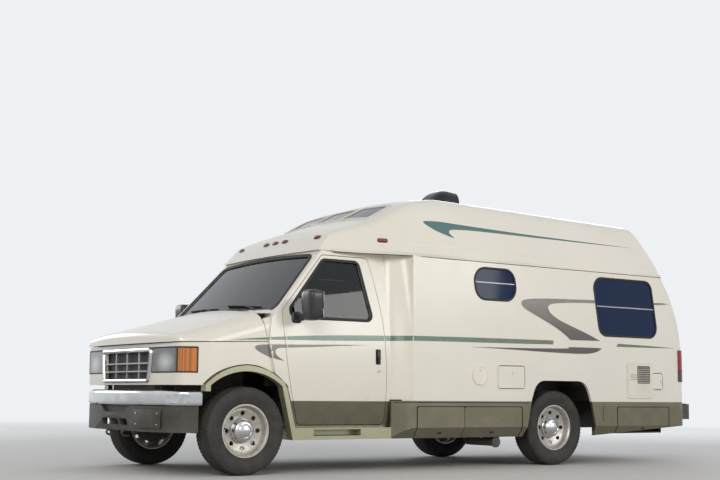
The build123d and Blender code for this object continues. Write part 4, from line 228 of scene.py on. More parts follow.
def front_lens():
    """Clear fluted headlamps with a painted reflection, bright in the middle and dark at the edges, and amber
    turn lamps at the corners.
    """
    flutes = waves("Y", 22)
    # Painted reflection: each headlamp is bright round its middle and shades to dark at its edges.
    sideways = ramp(ASIDE, LAMP_Y - 0.16, LAMP_Y + 0.16, -1.0, 1.0)
    upward = ramp(HEIGHT, LAMP_Z - 0.10, LAMP_Z + 0.10, -1.0, 1.0)
    spread = node("CombineXYZ", {"X": sideways, "Z": upward})
    reach = node("VectorMath", {0: spread}, "Value", operation="LENGTH")
    clear = blend(ramp(reach, 0.95, 0.15), (0.13, 0.14, 0.145), (0.74, 0.75, 0.75))
    amber = ramp(ASIDE, LAMP_SPLIT_Y - 0.001, LAMP_SPLIT_Y + 0.001)
    base = blend(amber, clear, blend(flutes, shade(AMBER, 0.55), AMBER))
    sockets = {"Base_Color": base, "Transmission_Weight": 0.30, "IOR": 1.49, "Coat_Weight": 0.9}
    return material("lens_front", (0.62, 0.64, 0.64), 0.10, 0, ((flutes, 0.5, 0.002),), **sockets)


def cloth(name, color):
    """Woven upholstery."""
    weave = times(waves("X", 520, 1.5), waves("Z", 520, 1.5))
    mottled = blend(patches(12, 6, 0.3, 0.7), shade(color, 0.8), shade(color, 1.2))
    sockets = {"Base_Color": blend(weave, mottled, shade(color, 1.5)), "Sheen_Weight": 0.35}
    return material(name, color, 0.92, 0, ((weave, 0.3, 0.0012),), Sheen_Roughness=0.5, **sockets)


def timber():
    """Veneered panels with a vertical grain."""
    grain = ramp(noise(9, 8, (5, 5, 0.5)), 0.3, 0.7)
    base = blend(grain, (0.20, 0.105, 0.045), (0.40, 0.24, 0.115))
    sockets = {"Base_Color": base, "Coat_Weight": 0.25}
    return material("cabinet_veneer", (0.33, 0.19, 0.09), 0.42, 0, ((grain, 0.08, 0.001),), **sockets)


below_break = ramp(HEIGHT, BREAK_Z + 0.0008, BREAK_Z - 0.0008)
cab_outside = blend(below_break, weathered(CREAM, 0.018, 0.10), weathered(OLIVE, 0.05, 0.30))
# Painted shade: the cab's wheel arches, inside its shell, are painted near black.
cab_base = arch_shaded(cab_outside, 0.93, 0.0, 2.84)
cab_paint = paint("cab_paint", CREAM, cab_base, Metallic=times(below_break, 0.55))
coach_paint = gelcoat("coach_gelcoat")
# Painted shade: the coach's wheel arches, inside its shell, are painted near black.
coach_shell = gelcoat("coach_shell", arch_shaded(weathered(CREAM, 0.018, 0.09), 1.040, -2.86, 0.70))
olive_paint = metallic_paint("olive_pewter", OLIVE)
champagne_paint = metallic_paint("champagne_pewter", CHAMPAGNE, 0.30)
stripe_green = fading_paint("stripe_green", (0.060, 0.175, 0.115), (0.120, 0.150, 0.095), "X", 0.9, -0.9)
stripe_grey = paint("stripe_grey", (0.170, 0.165, 0.140), dust=0.05)
stripe_fade = fading_paint("stripe_fade", (0.235, 0.235, 0.195), (0.085, 0.070, 0.058), "Z", 1.58, 1.30)
stripe_brown = paint("stripe_brown", (0.075, 0.062, 0.052), dust=0.05)
stripe_teal = paint("stripe_teal", (0.045, 0.140, 0.130), dust=0.03)
dark_plastic = plastic("dark_plastic", (0.048, 0.047, 0.045))
dark_gloss = plastic("dark_gloss", (0.030, 0.031, 0.034), 0.24, 500, 0.03, 0.08)
black_rubber = plastic("black_rubber", (0.014, 0.014, 0.014), 0.6, 500, 0.1, 0.10)
black_gloss = plastic("black_gloss", (0.010, 0.010, 0.011), 0.18, 200, 0.02, 0.06)
grey_plastic = plastic("grey_plastic", (0.16, 0.155, 0.145))
white_plastic = plastic("white_plastic", (0.74, 0.71, 0.63), 0.42, 400, 0.05, 0.08)
interior_plastic = plastic("interior_plastic", (0.10, 0.098, 0.092), 0.62, 600, 0.2, 0.02)
interior_dark = plastic("interior_dark", (0.025, 0.025, 0.026), 0.5, 600, 0.2, 0.02)
smudges = patches(9, 6, 0.35, 0.8, 0.05, 0.16)
ripple = ((noise(30, 2), 0.02, 0.001),)
chrome = material("chrome_plate", (0.62, 0.63, 0.645), 0.07, 1.0, ripple, Roughness=smudges)
satin_silver = bare_metal("satin_silver", (0.42, 0.42, 0.43), 0.32, 0.05)
chassis_black = bare_metal("chassis_black", (0.028, 0.028, 0.028), 0.55, 0.35)
cast_iron = bare_metal("cast_iron", (0.10, 0.095, 0.09), 0.7, 0.7)
exhaust_steel = bare_metal("exhaust_steel", (0.23, 0.21, 0.19), 0.5, 0.55)
rim_base = blend(patches(45, 8, 0.42, 0.78, 0.0, 0.5), weathered(SILVER, 0.06, 0.25), BRAKE_DUST)
rim_relief = ((noise(300, 3), 0.06, 0.001),)
wheel_silver = material("wheel_paint", SILVER, 0.38, 0.55, rim_relief, Base_Color=rim_base, Coat_Weight=0.3)
worn = blend(patches(9, 9, 0.32, 0.72, 0.05, 0.55), (0.020, 0.020, 0.020), (0.075, 0.064, 0.052))
tyre_relief = ((noise(420, 5), 0.22, 0.001),)
tyre_black = material("tyre_rubber", (0.022, 0.021, 0.02), 0.78, 0, tyre_relief, Base_Color=worn)
glass = {"Transmission_Weight": 1.0, "IOR": 1.45, "Specular_IOR_Level": 0.16}
haze = patches(5, 6, 0.4, 0.9, 0.0, 0.05)
window_clear = material("clear_glass", (0.050, 0.078, 0.092), 0.01, Roughness=haze, **glass)
above_seam = blend(ramp(HEIGHT, 1.98, 2.00), (0.003, 0.016, 0.060), (0.004, 0.020, 0.075))
tint = {"Base_Color": above_seam, "Roughness": patches(3, 4, 0.3, 0.9, 0.03, 0.09)}
window_dark = material("tinted_glass", (0.01, 0.02, 0.04), 0.05, Specular_IOR_Level=0.2, **tint)
lens_red = lens("lens_red", (0.42, 0.006, 0.005), 55, 0.15)
lens_amber = lens("lens_amber", (0.42, 0.075, 0.005), 60, 0.2)
lens_smoke = lens("lens_smoke", (0.10, 0.045, 0.040), 40, 0.2)
lens_front = front_lens()
seat_cloth = cloth("seat_cloth", (0.060, 0.060, 0.065))
sofa_cloth = cloth("sofa_cloth", (0.20, 0.185, 0.16))
veneer = timber()

# Each material, the slot of the new pieces that have it, and how the names of the nodes it covers start
LOOKS = (
    (cab_paint, None, "cab_body", "cab_door", "hood"),
    (coach_paint, "coach_white", "entry_door", "water_lid", "cord_lid", "roof_cap"),
    (coach_shell, None, "coach_body"),
    (olive_paint, "olive", "coach_skirts", "locker"),
    (champagne_paint, None, "running_boards"),
    (stripe_green, "olive"),
    (stripe_grey, "olive"),
    (stripe_fade, "olive"),
    (stripe_brown, "olive"),
    (stripe_teal, "olive"),
    (dark_plastic, "dark_plastic", "mirror", "front_valance", "storage_boxes", "rear_bumper", "tanks"),
    (dark_gloss, "dark_plastic"),
    (black_rubber, "dark_plastic"),
    (black_gloss, "dark_plastic", "roof_vent"),
    (grey_plastic, "interior_grey"),
    (white_plastic, "coach_white", "side_panels"),
    (interior_plastic, None, "dashboard"),
    (interior_dark, "interior_dark", "steering_wheel"),
    (chrome, "chrome", "grille", "front_bumper"),
    (satin_silver, "chrome"),
    (chassis_black, "frame_black", "frame_rails", "crossmembers", "front_axle", "springs", "radiator"),
    (cast_iron, None, "knuckle", "rear_axle", "engine"),
    (exhaust_steel, None, "exhaust"),
    (wheel_silver, None, "rim"),
    (tyre_black, "tyre", "tyre"),
    (window_clear, None, "cab_glass", "windshield"),
    (window_dark, None, "entry_glass", "tinted_glass"),
    (lens_front, None, "front_lamps"),
    (lens_red, "lamp_red", "tail_lamps"),
    (lens_smoke, "lamp_red"),
    (lens_amber, "lamp_amber", "marker_lamps"),
    (seat_cloth, "seat_cloth", "cab_seats"),
    (sofa_cloth, "sofa_cloth", "rear_sofa"),
    (veneer, "cabinet_wood", "cabinets"),
)
SLOTS = {look.name: slot for look, slot, *starts in LOOKS}
for look, slot, *starts in LOOKS:
    for node_name in nodes:
        if node_name.startswith(tuple(starts)):
            nodes[node_name].data.materials.clear()
            nodes[node_name].data.materials.append(look)


# Meshes
def placed(name, data):
    """A new object of the scene."""
    made = bpy.data.objects.new(name, data)
    bpy.context.scene.collection.objects.link(made)
    return made


def joined(parts):
    """Several (verts, faces) lists as one."""
    verts, faces = [], []
    for part_verts, part_faces in parts:
        start = len(verts)
        verts += list(part_verts)
        faces += [[start + i for i in face] for face in part_faces]
    return verts, faces


def piece(name, part, material, body="vehicle", sharp=35, slot=None, stands_for=None):
    """One new mesh piece, of one part or a list of them, that rides on a body."""
    verts, faces = joined(part) if isinstance(part, list) else part
    mesh = bpy.data.meshes.new(name)
    mesh.from_pydata([tuple(v) for v in verts], [], faces)
    mesh.validate()
    shape = bmesh.new()
    shape.from_mesh(mesh)
    if not any(edge.is_boundary for edge in shape.edges):
        bmesh.ops.recalc_face_normals(shape, faces=shape.faces[:])
        shape.to_mesh(mesh)
    shape.free()
    mesh.materials.append(material)
    mesh.polygons.foreach_set("use_smooth", [True] * len(mesh.polygons))
    mesh.set_sharp_from_angle(angle=math.radians(sharp))
    made = placed(name, mesh)
    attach(made, body)
    slot or SLOTS[material.name]
    if stands_for:
        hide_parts(stands_for)
    return made


def moved(part, matrix):
    return [matrix @ Vector(v) for v in part[0]], part[1]


def lattice(rows, width, wrap_rows, wrap_width):
    """Faces over rows of points that are numbered one after the other."""
    faces = []
    for i in range(rows if wrap_rows else rows - 1):
        after = (i + 1) % rows
        for j in range(width if wrap_width else width - 1):
            k = (j + 1) % width
            faces.append([i * width + j, after * width + j, after * width + k, i * width + k])
    return faces


def grid(columns, wrap=False):
    """Faces over columns of points, each column as long as the next."""
    return [p for column in columns for p in column], lattice(len(columns), len(columns[0]), wrap, False)


def ended(part, width, spare=0):
    """A part whose first and last rows of points are closed off, apart from spare points in each."""
    verts, faces = part
    last = len(verts) - width
    ends = [range(width - spare), reversed(range(last, len(verts) - spare))]
    return verts, faces + [list(end) for end in ends]


def lathe(profile, axis_point, axis, steps=48, closed=True):
    """A profile of (radius, along) points turned about an axis."""
    axis = Vector(axis).normalized()
    across = axis.orthogonal().normalized()
    other = axis.cross(across)
    verts = []
    for radius, reach in profile:
        for step in range(steps):
            angle = 2 * math.pi * step / steps
            spoke = across * math.cos(angle) + other * math.sin(angle)
            verts.append(Vector(axis_point) + axis * reach + spoke * radius)
    return verts, [[a, d, c, b] for a, b, c, d in lattice(len(profile), steps, closed, True)]


def capped(profile, axis_point, axis, steps=48):
    """An open profile turned about an axis, with flat ends."""
    verts, faces = ended(lathe(profile, axis_point, axis, steps, closed=False), steps)
    return verts, faces[:-2] + [face[::-1] for face in faces[-2:]]


def heading(path, i, closed):
    """The direction of a path at one of its points."""
    ahead = path[(i + 1) % len(path)] if closed or i + 1 < len(path) else path[i]
    behind = path[i - 1] if closed or i > 0 else path[i]
    return (ahead - behind).normalized()


def sweep(path, outs, profile, closed=False):
    """A closed profile of (across, out) points carried along a path."""
    verts = []
    for i, point in enumerate(path):
        ahead = heading(path, i, closed)
        out = (outs[i] - ahead * outs[i].dot(ahead)).normalized()
        side = ahead.cross(out)
        verts += [point + side * across + out * up for across, up in profile]
    part = verts, lattice(len(path), len(profile), closed, True)
    return part if closed else ended(part, len(profile))


def tube(path, radius, sides=10, closed=False):
    """A round bar along a path."""
    outs = []
    up = Vector((0.11, 0.23, 1))
    for i in range(len(path)):
        ahead = heading(path, i, closed)
        up = (up - ahead * up.dot(ahead)).normalized()
        outs.append(up.copy())
    turns = [2 * math.pi * side / sides for side in range(sides)]
    return sweep(path, outs, [(radius * math.cos(turn), radius * math.sin(turn)) for turn in turns], closed)


def taken(shape):
    """The vertices and faces of a bmesh, which is freed."""
    part = [v.co.copy() for v in shape.verts], [[v.index for v in face.verts] for face in shape.faces]
    shape.free()
    return part


def box(size, centre, bevel=0.003, turn=None, segments=2):
    """A box with rounded edges."""
    shape = bmesh.new()
    bmesh.ops.create_cube(shape, size=1)
    bmesh.ops.scale(shape, vec=Vector(size), verts=shape.verts)
    rounding = {"offset": bevel, "offset_type": "OFFSET", "segments": segments, "profile": 0.5}
    bmesh.ops.bevel(shape, geom=shape.edges[:], affect="EDGES", **rounding)
    matrix = Matrix.Translation(centre)
    return moved(taken(shape), matrix @ turn.to_4x4() if turn else matrix)


def swollen(cuts, power, put):
    """A subdivided cube with its points where put(u, v, w, pull) says; pull makes it bulge."""
    shape = bmesh.new()
    bmesh.ops.create_cube(shape, size=2)
    bmesh.ops.subdivide_edges(shape, edges=shape.edges[:], cuts=cuts, use_grid_fill=True)
    for vert in shape.verts:
        u, v, w = vert.co
        total = abs(u) ** power + abs(v) ** power + abs(w) ** power
        vert.co = put(u, v, w, max(abs(u), abs(v), abs(w)) / total ** (1 / power))
    return taken(shape)


def pebble(size, power=4.0, cuts=12, taper=0.0):
    """A block about the origin with swelling sides, narrower at the foot by its taper."""
    def put(u, v, w, pull):
        narrow = 1 - taper * (1 - w) / 2
        return u * pull * size[0] / 2 * narrow, v * pull * size[1] / 2 * narrow, w * pull * size[2] / 2
    return swollen(cuts, power, put)


def rounded(points, radius, steps=6):
    """A closed outline of 2-D points with its corners turned into arcs."""
    outline = []
    for i, point in enumerate(points):
        here = Vector(point)
        to_last = (Vector(points[i - 1]) - here).normalized()
        to_next = (Vector(points[(i + 1) % len(points)]) - here).normalized()
        half = to_last.angle(to_next) / 2
        inset = radius / math.tan(half)
        centre = here + (to_last + to_next).normalized() * (radius / math.sin(half))
        start = here + to_last * inset - centre
        end = here + to_next * inset - centre
        for step in range(steps + 1):
            outline.append(tuple(centre + start.lerp(end, step / steps).normalized() * radius))
    return outline


def oblong(x, z, far_x, far_z, corner, steps=6):
    """A rounded rectangle between two opposite corners."""
    return rounded([(x, z), (far_x, z), (far_x, far_z), (x, far_z)], corner, steps)


def filled_in(outline, spacing):
    """The outline with points added wherever two lie further apart than the spacing."""
    dense = []
    for i, point in enumerate(outline):
        here, after = Vector(point), Vector(outline[(i + 1) % len(outline)])
        count = max(1, int((after - here).length / spacing))
        dense += [tuple(here.lerp(after, step / count)) for step in range(count)]
    return dense


def grown(outline, margin):
    """A closed outline pushed outwards by a margin."""
    area = sum(a[0] * b[1] - b[0] * a[1] for a, b in zip(outline, outline[1:] + outline[:1]))
    turn = 1 if area > 0 else -1
    pushed = []
    for i, point in enumerate(outline):
        ahead = Vector(outline[(i + 1) % len(outline)]) - Vector(outline[i - 1])
        out = Vector((ahead.y, -ahead.x)).normalized() * turn
        pushed.append((point[0] + out.x * margin, point[1] + out.y * margin))
    return pushed


def curve(points, count):
    """Points along a smooth open curve through the given ones."""
    points = [Vector(p) for p in points]
    ends = [points[0] * 2 - points[1]] + points + [points[-1] * 2 - points[-2]]
    spans = len(points) - 1
    made = []
    for i in range(count):
        t = i / (count - 1) * spans
        k = min(int(t), spans - 1)
        u = t - k
        a, b, c, d = ends[k:k + 4]
        cubic = (b * 3 - a - c * 3 + d) * u ** 3
        made.append((b * 2 + (c - a) * u + (a * 2 - b * 5 + c * 4 - d) * u ** 2 + cubic) / 2)
    return made


# Surfaces of the CAD model, to lay things on
def surface(*names):
    """A tree for casting rays at these nodes."""
    meshes = [nodes[name].data for name in names]
    parts = [([v.co.copy() for v in mesh.vertices], [p.vertices for p in mesh.polygons]) for mesh in meshes]
    return BVHTree.FromPolygons(*joined(parts))


def cast(tree, origin, direction):
    """Where a ray first meets a surface, with the outward normal there."""
    direction = Vector(direction).normalized()
    point, normal = tree.ray_cast(Vector(origin), direction)[:2]
    if point is None:
        point, normal = tree.find_nearest(Vector(origin) + direction * 3)[:2]
    return point, -normal if normal.dot(direction) > 0 else normal


def on_side(tree, side, x, z):
    return cast(tree, (x, side * 3, z), (0, -side, 0))


def traced(tree, points, direction):
    """Where rays in one direction through these points meet a surface."""
    direction = Vector(direction).normalized()
    return [cast(tree, Vector(point) - direction * 3, direction) for point in points]


def laid(hits, profile, closed=False):
    """A profile swept along the places and normals that rays have met."""
    return sweep([point for point, out in hits], [out for point, out in hits], profile, closed)


def seated(part, point, out, up=UP):
    """A part made about the origin, facing +Y with +Z up, set down on a surface."""
    out = Vector(out).normalized()
    across = out.cross(Vector(up)).normalized()
    turn = Matrix((across, out, across.cross(out))).transposed().to_4x4()
    return moved(part, Matrix.Translation(point) @ turn)


def mid(name):
    """The middle of a node's box."""
    low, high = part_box(name)
    return (low + high) / 2


def from_axle(outline):
    """Side-view points given from the front axle, in the frame."""
    return [(FRONT_AXLE + x, z) for x, z in outline]


def button(radius, tall, steps=20):
    """A small round cap that faces +Y."""
    profile = [(radius, -0.002), (radius, tall * 0.7), (radius * 0.86, tall), (radius * 0.2, tall)]
    return capped(profile, (0, 0, 0), (0, 1, 0), steps)


def bead(width, proud, sunk=0.002):
    """A rounded strip's cross-section, sunk a little into what it lies on."""
    half = [(0.5, 0), (0.5, 0.55), (0.28, 0.95)]
    outline = [(-across, up) for across, up in half] + half[::-1]
    return [(across * width, up * proud if up else -sunk) for across, up in outline]


def side_bead(tree, side, outline, width, proud, spacing=0.03):
    """A closed strip along a side-view outline."""
    hits = [on_side(tree, side, x, z) for x, z in filled_in(outline, spacing)]
    return laid(hits[::side], bead(width, proud), True)


def side_plate(tree, side, outline, proud):
    """A flat plate with a side-view outline, standing proud of the side."""
    points = [on_side(tree, side, x, z)[0] for x, z in outline]
    count = len(points)
    faces = [list(range(count))]
    for i in range(count):
        j = (i + 1) % count
        faces.append([i, count + i, count + j, j])
    verts = [point + Vector((0, side * up, 0)) for up in (proud, -0.002) for point in points]
    return verts, [face[::-side] for face in faces]


# Tyres with a blocked tread
TREAD_HALF = 0.088
TREAD_PITCHES = 66
GROOVE = 0.0085
GROOVE_CENTRES = (-0.056, -0.019, 0.019, 0.056)
GROOVE_HALF = 0.0042
ZIGZAG = 0.0035
SHOULDER_RADIUS = 0.335
TYRE_WALL = (
    (0.222, 0.72), (0.229, 0.79), (0.238, 0.835), (0.246, 0.845), (0.254, 0.885), (0.262, 0.912),
    (0.266, 0.925), (0.268, 0.938), (0.290, 0.975), (0.300, 0.988), (0.303, 0.978), (0.308, 0.988),
    (0.318, 0.975), (0.333, 0.948), (0.338, 0.935), (0.346, 0.905), (0.353, 0.872), (0.359, 0.825),
)


def tread_depth(across, angle):
    """How deep the tread is cut at a place across its width and round its turn."""
    zigzag = ZIGZAG * math.sin(angle * TREAD_PITCHES)
    if any(abs(across - centre - zigzag) < GROOVE_HALF for centre in GROOVE_CENTRES):
        return GROOVE
    slant = angle * TREAD_PITCHES / (2 * math.pi) + across * 14
    return GROOVE * 0.75 if slant % 1 < 0.20 and abs(across) > 0.023 else 0.0


def tyre_mesh(name):
    """One tyre in the place of its CAD solid."""
    low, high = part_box("tyre_" + name)
    centre = (low + high) / 2
    half = (high.y - low.y) / 2
    steps = TREAD_PITCHES * 5
    lateral = [-TREAD_HALF + 2 * TREAD_HALF * i / 34 for i in range(35)]
    columns = []
    for step in range(steps):
        angle = 2 * math.pi * step / steps
        spoke = Vector((math.cos(angle), 0, math.sin(angle)))
        cut = 0.004 if (angle * TREAD_PITCHES / (2 * math.pi)) % 1 < 0.25 else 0.0
        wall = [(r - cut if r > SHOULDER_RADIUS else r, w * half) for r, w in TYRE_WALL]
        line = [centre + spoke * r - Vector((0, w, 0)) for r, w in wall]
        for across in lateral:
            crown = 0.004 * (across / TREAD_HALF) ** 2
            r = (high.z - low.z) / 2 - 0.0006 - crown - tread_depth(across, angle)
            line.append(centre + spoke * r + Vector((0, across, 0)))
        line += [centre + spoke * r + Vector((0, w, 0)) for r, w in reversed(wall)]
        columns.append(line + line[:1])
    piece("tread_" + name, grid(columns, True), tyre_black, "wheel_" + name, 40, None, "tyre_" + name)


# Wheel trim: chrome caps over the domes of the rims, dark rings of painted shade round the hand holes, and
# valve stems
CAP_PROFILE = (
    (0.101, -0.070), (0.101, -0.062), (0.095, -0.057), (0.093, -0.040), (0.088, -0.026), (0.078, -0.016),
    (0.067, -0.0105), (0.061, -0.0095), (0.0585, -0.0125), (0.056, -0.0095), (0.046, -0.004), (0.030, 0.0005),
    (0.015, 0.0025), (0.004, 0.003),
)
HAND_HOLES = 8
HOLE_CIRCLE = 0.148
HOLE_SHADE_RING = ((0.0165, -0.004), (0.0165, 0.0012), (0.0205, 0.0012), (0.0205, -0.004))
VALVE = ((0.006, -0.012), (0.006, 0.018), (0.0045, 0.02), (0.0045, 0.03))


def wheel_trim(name):
    """The chrome cap, dark rings of painted shade round the hand holes, and the valve of one wheel."""
    body = "wheel_" + name
    side = 1 if name.endswith("left") else -1
    low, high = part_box("rim_" + name)
    centre = (low + high) / 2
    centre.y = high.y if side > 0 else low.y
    out = Vector((0, side, 0))
    piece("wheel_cap_" + name, capped(CAP_PROFILE, centre, out, 64), chrome, body, 50)
    tree = surface("rim_" + name)
    shade_rings = []
    # Painted shade: a black ring round each hand hole makes its dark edge look wider.
    for hole in range(HAND_HOLES):
        turn = 2 * math.pi * hole / HAND_HOLES
        between = turn + math.pi / HAND_HOLES
        beside = centre + Vector((math.cos(between), 0, math.sin(between))) * HOLE_CIRCLE
        at = centre + Vector((math.cos(turn), 0, math.sin(turn))) * HOLE_CIRCLE
        at.y = cast(tree, beside + out, -out)[0].y
        shade_rings.append(lathe(HOLE_SHADE_RING, at, out, 20))
    piece("hole_shade_rings_" + name, shade_rings, black_rubber, body)
    stem_at = centre + Vector((0.185, 0, 0.02)) - out * 0.035
    piece("wheel_valve_" + name, capped(VALVE, stem_at, out, 12), black_rubber, body)


for wheel in WHEELS:
    tyre_mesh(wheel)
for wheel in WHEELS:
    wheel_trim(wheel)


# Stripes and swooshes, given from the front axle
cab_skin = surface("cab_body", "cab_door_left", "cab_door_right", "hood")
coach_skin = surface("coach_body", "cab_body", "entry_door")
cap_skin = surface("roof_cap")
OUTSIDE = 0.93
TOO_NEAR = 0.0008
BESIDE = (0, 0.004, -0.004, 0.008, -0.008, 0.012, -0.012)
PAINT_GRID = 0.014
STRIPE_GAP = 0.003
HOOD_GAP = 0.004
STRIPE = (
    [(0.166, 1.114), (-0.154, 1.141), (-0.351, 1.155), (-0.607, 1.171), (-1.006, 1.187), (-1.405, 1.197),
     (-1.653, 1.203), (-2.071, 1.208), (-2.451, 1.2115), (-2.913, 1.214), (-3.396, 1.216)],
    [(-3.396, 1.216), (-3.391, 1.177)],
    [(-3.391, 1.177), (-2.913, 1.171), (-2.452, 1.167), (-2.071, 1.164), (-1.653, 1.158), (-1.404, 1.150),
     (-1.005, 1.139), (-0.607, 1.131), (-0.361, 1.127), (-0.155, 1.122), (0.166, 1.114)],
)
TAIL_STRIPE = (
    [(-4.296, 1.211), (-4.751, 1.202), (-5.177, 1.188)],
    [(-5.177, 1.188), (-4.751, 1.182), (-4.273, 1.180)],
    [(-4.273, 1.180), (-4.296, 1.211)],
)
WING_SWOOSH = (
    [(-0.344, 0.947), (-0.261, 0.963), (-0.187, 0.988), (-0.113, 1.020), (-0.083, 1.039), (-0.071, 1.056),
     (-0.082, 1.070), (-0.126, 1.079), (-0.215, 1.084), (-0.452, 1.089), (-0.685, 1.095), (-0.924, 1.102),
     (-1.227, 1.107)],
    [(-1.227, 1.107), (-0.923, 1.091), (-0.685, 1.077), (-0.498, 1.067), (-0.361, 1.060), (-0.290, 1.055),
     (-0.262, 1.041), (-0.256, 1.020), (-0.279, 0.987), (-0.344, 0.947)],
)
BIG_SWOOSH = (
    [(-3.625, 1.227), (-3.562, 1.270), (-3.459, 1.328), (-3.316, 1.392), (-3.154, 1.456), (-3.035, 1.506),
     (-2.988, 1.538), (-2.976, 1.570), (-2.996, 1.592), (-3.046, 1.605), (-3.136, 1.615), (-3.402, 1.628),
     (-3.695, 1.635), (-4.040, 1.644)],
    [(-4.040, 1.644), (-4.044, 1.612)],
    [(-4.044, 1.612), (-3.737, 1.603), (-3.484, 1.588), (-3.370, 1.572), (-3.330, 1.549), (-3.332, 1.519),
     (-3.379, 1.472), (-3.481, 1.420), (-3.648, 1.364), (-3.860, 1.297), (-4.042, 1.231)],
    [(-4.042, 1.231), (-3.625, 1.227)],
)
WINDOW_BAR = (
    [(-4.800, 1.655), (-4.965, 1.660), (-5.077, 1.654)],
    [(-5.077, 1.654), (-4.964, 1.640), (-4.800, 1.631)],
    [(-4.800, 1.631), (-4.800, 1.655)],
)
LOW_BLADE = (
    [(-2.337, 1.123), (-3.031, 1.131), (-3.560, 1.142), (-3.595, 1.150)],
    [(-3.595, 1.150), (-3.623, 1.157), (-3.857, 1.159), (-4.067, 1.158)],
    [(-4.067, 1.158), (-4.007, 1.125), (-3.931, 1.106), (-3.834, 1.096), (-3.643, 1.094), (-3.231, 1.101),
     (-2.834, 1.112), (-2.337, 1.122)],
)
CAP_SWOOSH = (
    [(-2.182, 2.135), (-2.102, 2.154), (-1.983, 2.188), (-1.887, 2.229), (-1.842, 2.255), (-1.836, 2.269),
     (-1.862, 2.277), (-2.000, 2.284), (-2.257, 2.276), (-2.610, 2.265), (-3.070, 2.252), (-3.551, 2.243),
     (-4.053, 2.235), (-4.630, 2.228)],
    [(-4.630, 2.228), (-4.051, 2.225), (-3.547, 2.227), (-3.063, 2.228), (-2.716, 2.230), (-2.514, 2.230),
     (-2.335, 2.228), (-2.175, 2.219), (-2.128, 2.204), (-2.130, 2.178), (-2.182, 2.135)],
)


def kept_side(outline, keep):
    """The part of a closed outline where keep(x, z) isn't negative."""
    kept = []
    for i, after in enumerate(outline):
        before = outline[i - 1]
        first, second = keep(*before), keep(*after)
        if (first < 0) != (second < 0):
            share = first / (first - second)
            kept.append(tuple(a + (b - a) * share for a, b in zip(before, after)))
        if second >= 0:
            kept.append(after)
    return kept


def on_skin(tree, side, x, z):
    """A place on the outer skin, level with what is beside it where a gap opens there."""
    for shift in BESIDE:
        point, out = on_side(tree, side, x + shift, z)
        if side * point.y > OUTSIDE:
            return Vector((x, point.y, z)) + out * PROUD
    return None


def painted(side, name, tree, runs, material, body, *limits):
    """Paint inside a side-view outline, whose smooth runs meet at its tips; limits cut it off."""
    outline = []
    for run in runs:
        outline += [(FRONT_AXLE + at.x, at.y) for at in curve(run, 20 * len(run))[:-1]]
    for limit in limits:
        outline = kept_side(outline, limit)
    outline = [p for i, p in enumerate(outline) if math.dist(p, outline[i - 1]) > TOO_NEAR]
    count = len(outline)
    points = [Vector(p) for p in outline]
    edges = [(i, (i + 1) % count) for i in range(count)]
    (low_x, high_x), (low_z, high_z) = [(min(values), max(values)) for values in zip(*outline)]
    for i in range(1, math.ceil((high_x - low_x) / PAINT_GRID)):
        for j in range(1, math.ceil((high_z - low_z) / PAINT_GRID)):
            points.append(Vector((low_x + i * PAINT_GRID, low_z + j * PAINT_GRID)))
    flat, _, faces, *_ = delaunay_2d_cdt(points, edges, [list(range(count))], 1, 1e-6)
    places = {i: on_skin(tree, side, *flat[i]) for face in faces for i in face}
    faces = [face for face in faces if all(places[i] for i in face)]
    used = sorted({i for face in faces for i in face})
    order = {old: new for new, old in enumerate(used)}
    faces = [[order[i] for i in face][::-side] for face in faces]
    piece(name, ([places[i] for i in used], faces), material, body)


def keep(way, line, gap=STRIPE_GAP):
    """A limit that keeps what is ahead of a line (way 1) or behind it (way -1)."""
    return lambda x, z: way * (x - line(z)) - gap


def stripes(side, name):
    """All the painted lines on one side, each on the body that carries it."""
    hood_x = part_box("hood")[0].x
    low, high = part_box("entry_door")
    hood, entry_front, entry_rear = [lambda z, x=x: x for x in (hood_x, high.x, low.x)]

    def door_front(z):
        return FRONT_AXLE - 0.339 - (1.375 - z) * 0.1222

    def door_rear(z):
        return FRONT_AXLE - 1.390 - (1.200 - z) * 0.019

    green = (STRIPE, stripe_green)
    wing = (WING_SWOOSH, stripe_grey)
    behind_front, behind_door, behind_entry = [keep(-1, line) for line in (door_front, door_rear, entry_rear)]
    rows = [
        ("stripe_bonnet_" + name, cab_skin, *green, "bonnet", keep(1, hood, HOOD_GAP)),
        ("stripe_wing_" + name, cab_skin, *green, "vehicle", keep(-1, hood, HOOD_GAP), keep(1, door_front)),
        ("stripe_door_" + name, cab_skin, *green, "door_" + name, behind_front, keep(1, door_rear)),
        ("swoosh_wing_" + name, cab_skin, *wing, "vehicle", keep(1, door_front)),
        ("swoosh_door_" + name, cab_skin, *wing, "door_" + name, behind_front),
    ]
    blade_limits = []
    if side > 0:
        rows.append(("stripe_coach_left", coach_skin, *green, "vehicle", behind_door))
    else:
        rows += [
            ("stripe_pillar", coach_skin, *green, "vehicle", behind_door, keep(1, entry_front)),
            ("stripe_entry", coach_skin, *green, "door_entry", keep(-1, entry_front), keep(1, entry_rear)),
            ("stripe_coach_right", coach_skin, *green, "vehicle", behind_entry),
        ]
        blade_limits.append(keep(-1, entry_rear, 0.020))
    rows += [
        ("stripe_tail_" + name, coach_skin, TAIL_STRIPE, stripe_green, "vehicle"),
        ("swoosh_coach_" + name, coach_skin, BIG_SWOOSH, stripe_fade, "vehicle"),
        ("swoosh_bar_" + name, coach_skin, WINDOW_BAR, stripe_fade, "vehicle"),
        ("blade_coach_" + name, coach_skin, LOW_BLADE, stripe_brown, "vehicle", *blade_limits),
        ("swoosh_cap_" + name, cap_skin, CAP_SWOOSH, stripe_teal, "vehicle"),
    ]
    for row in rows:
        painted(side, *row)


for side, name in SIDES:
    stripes(side, name)


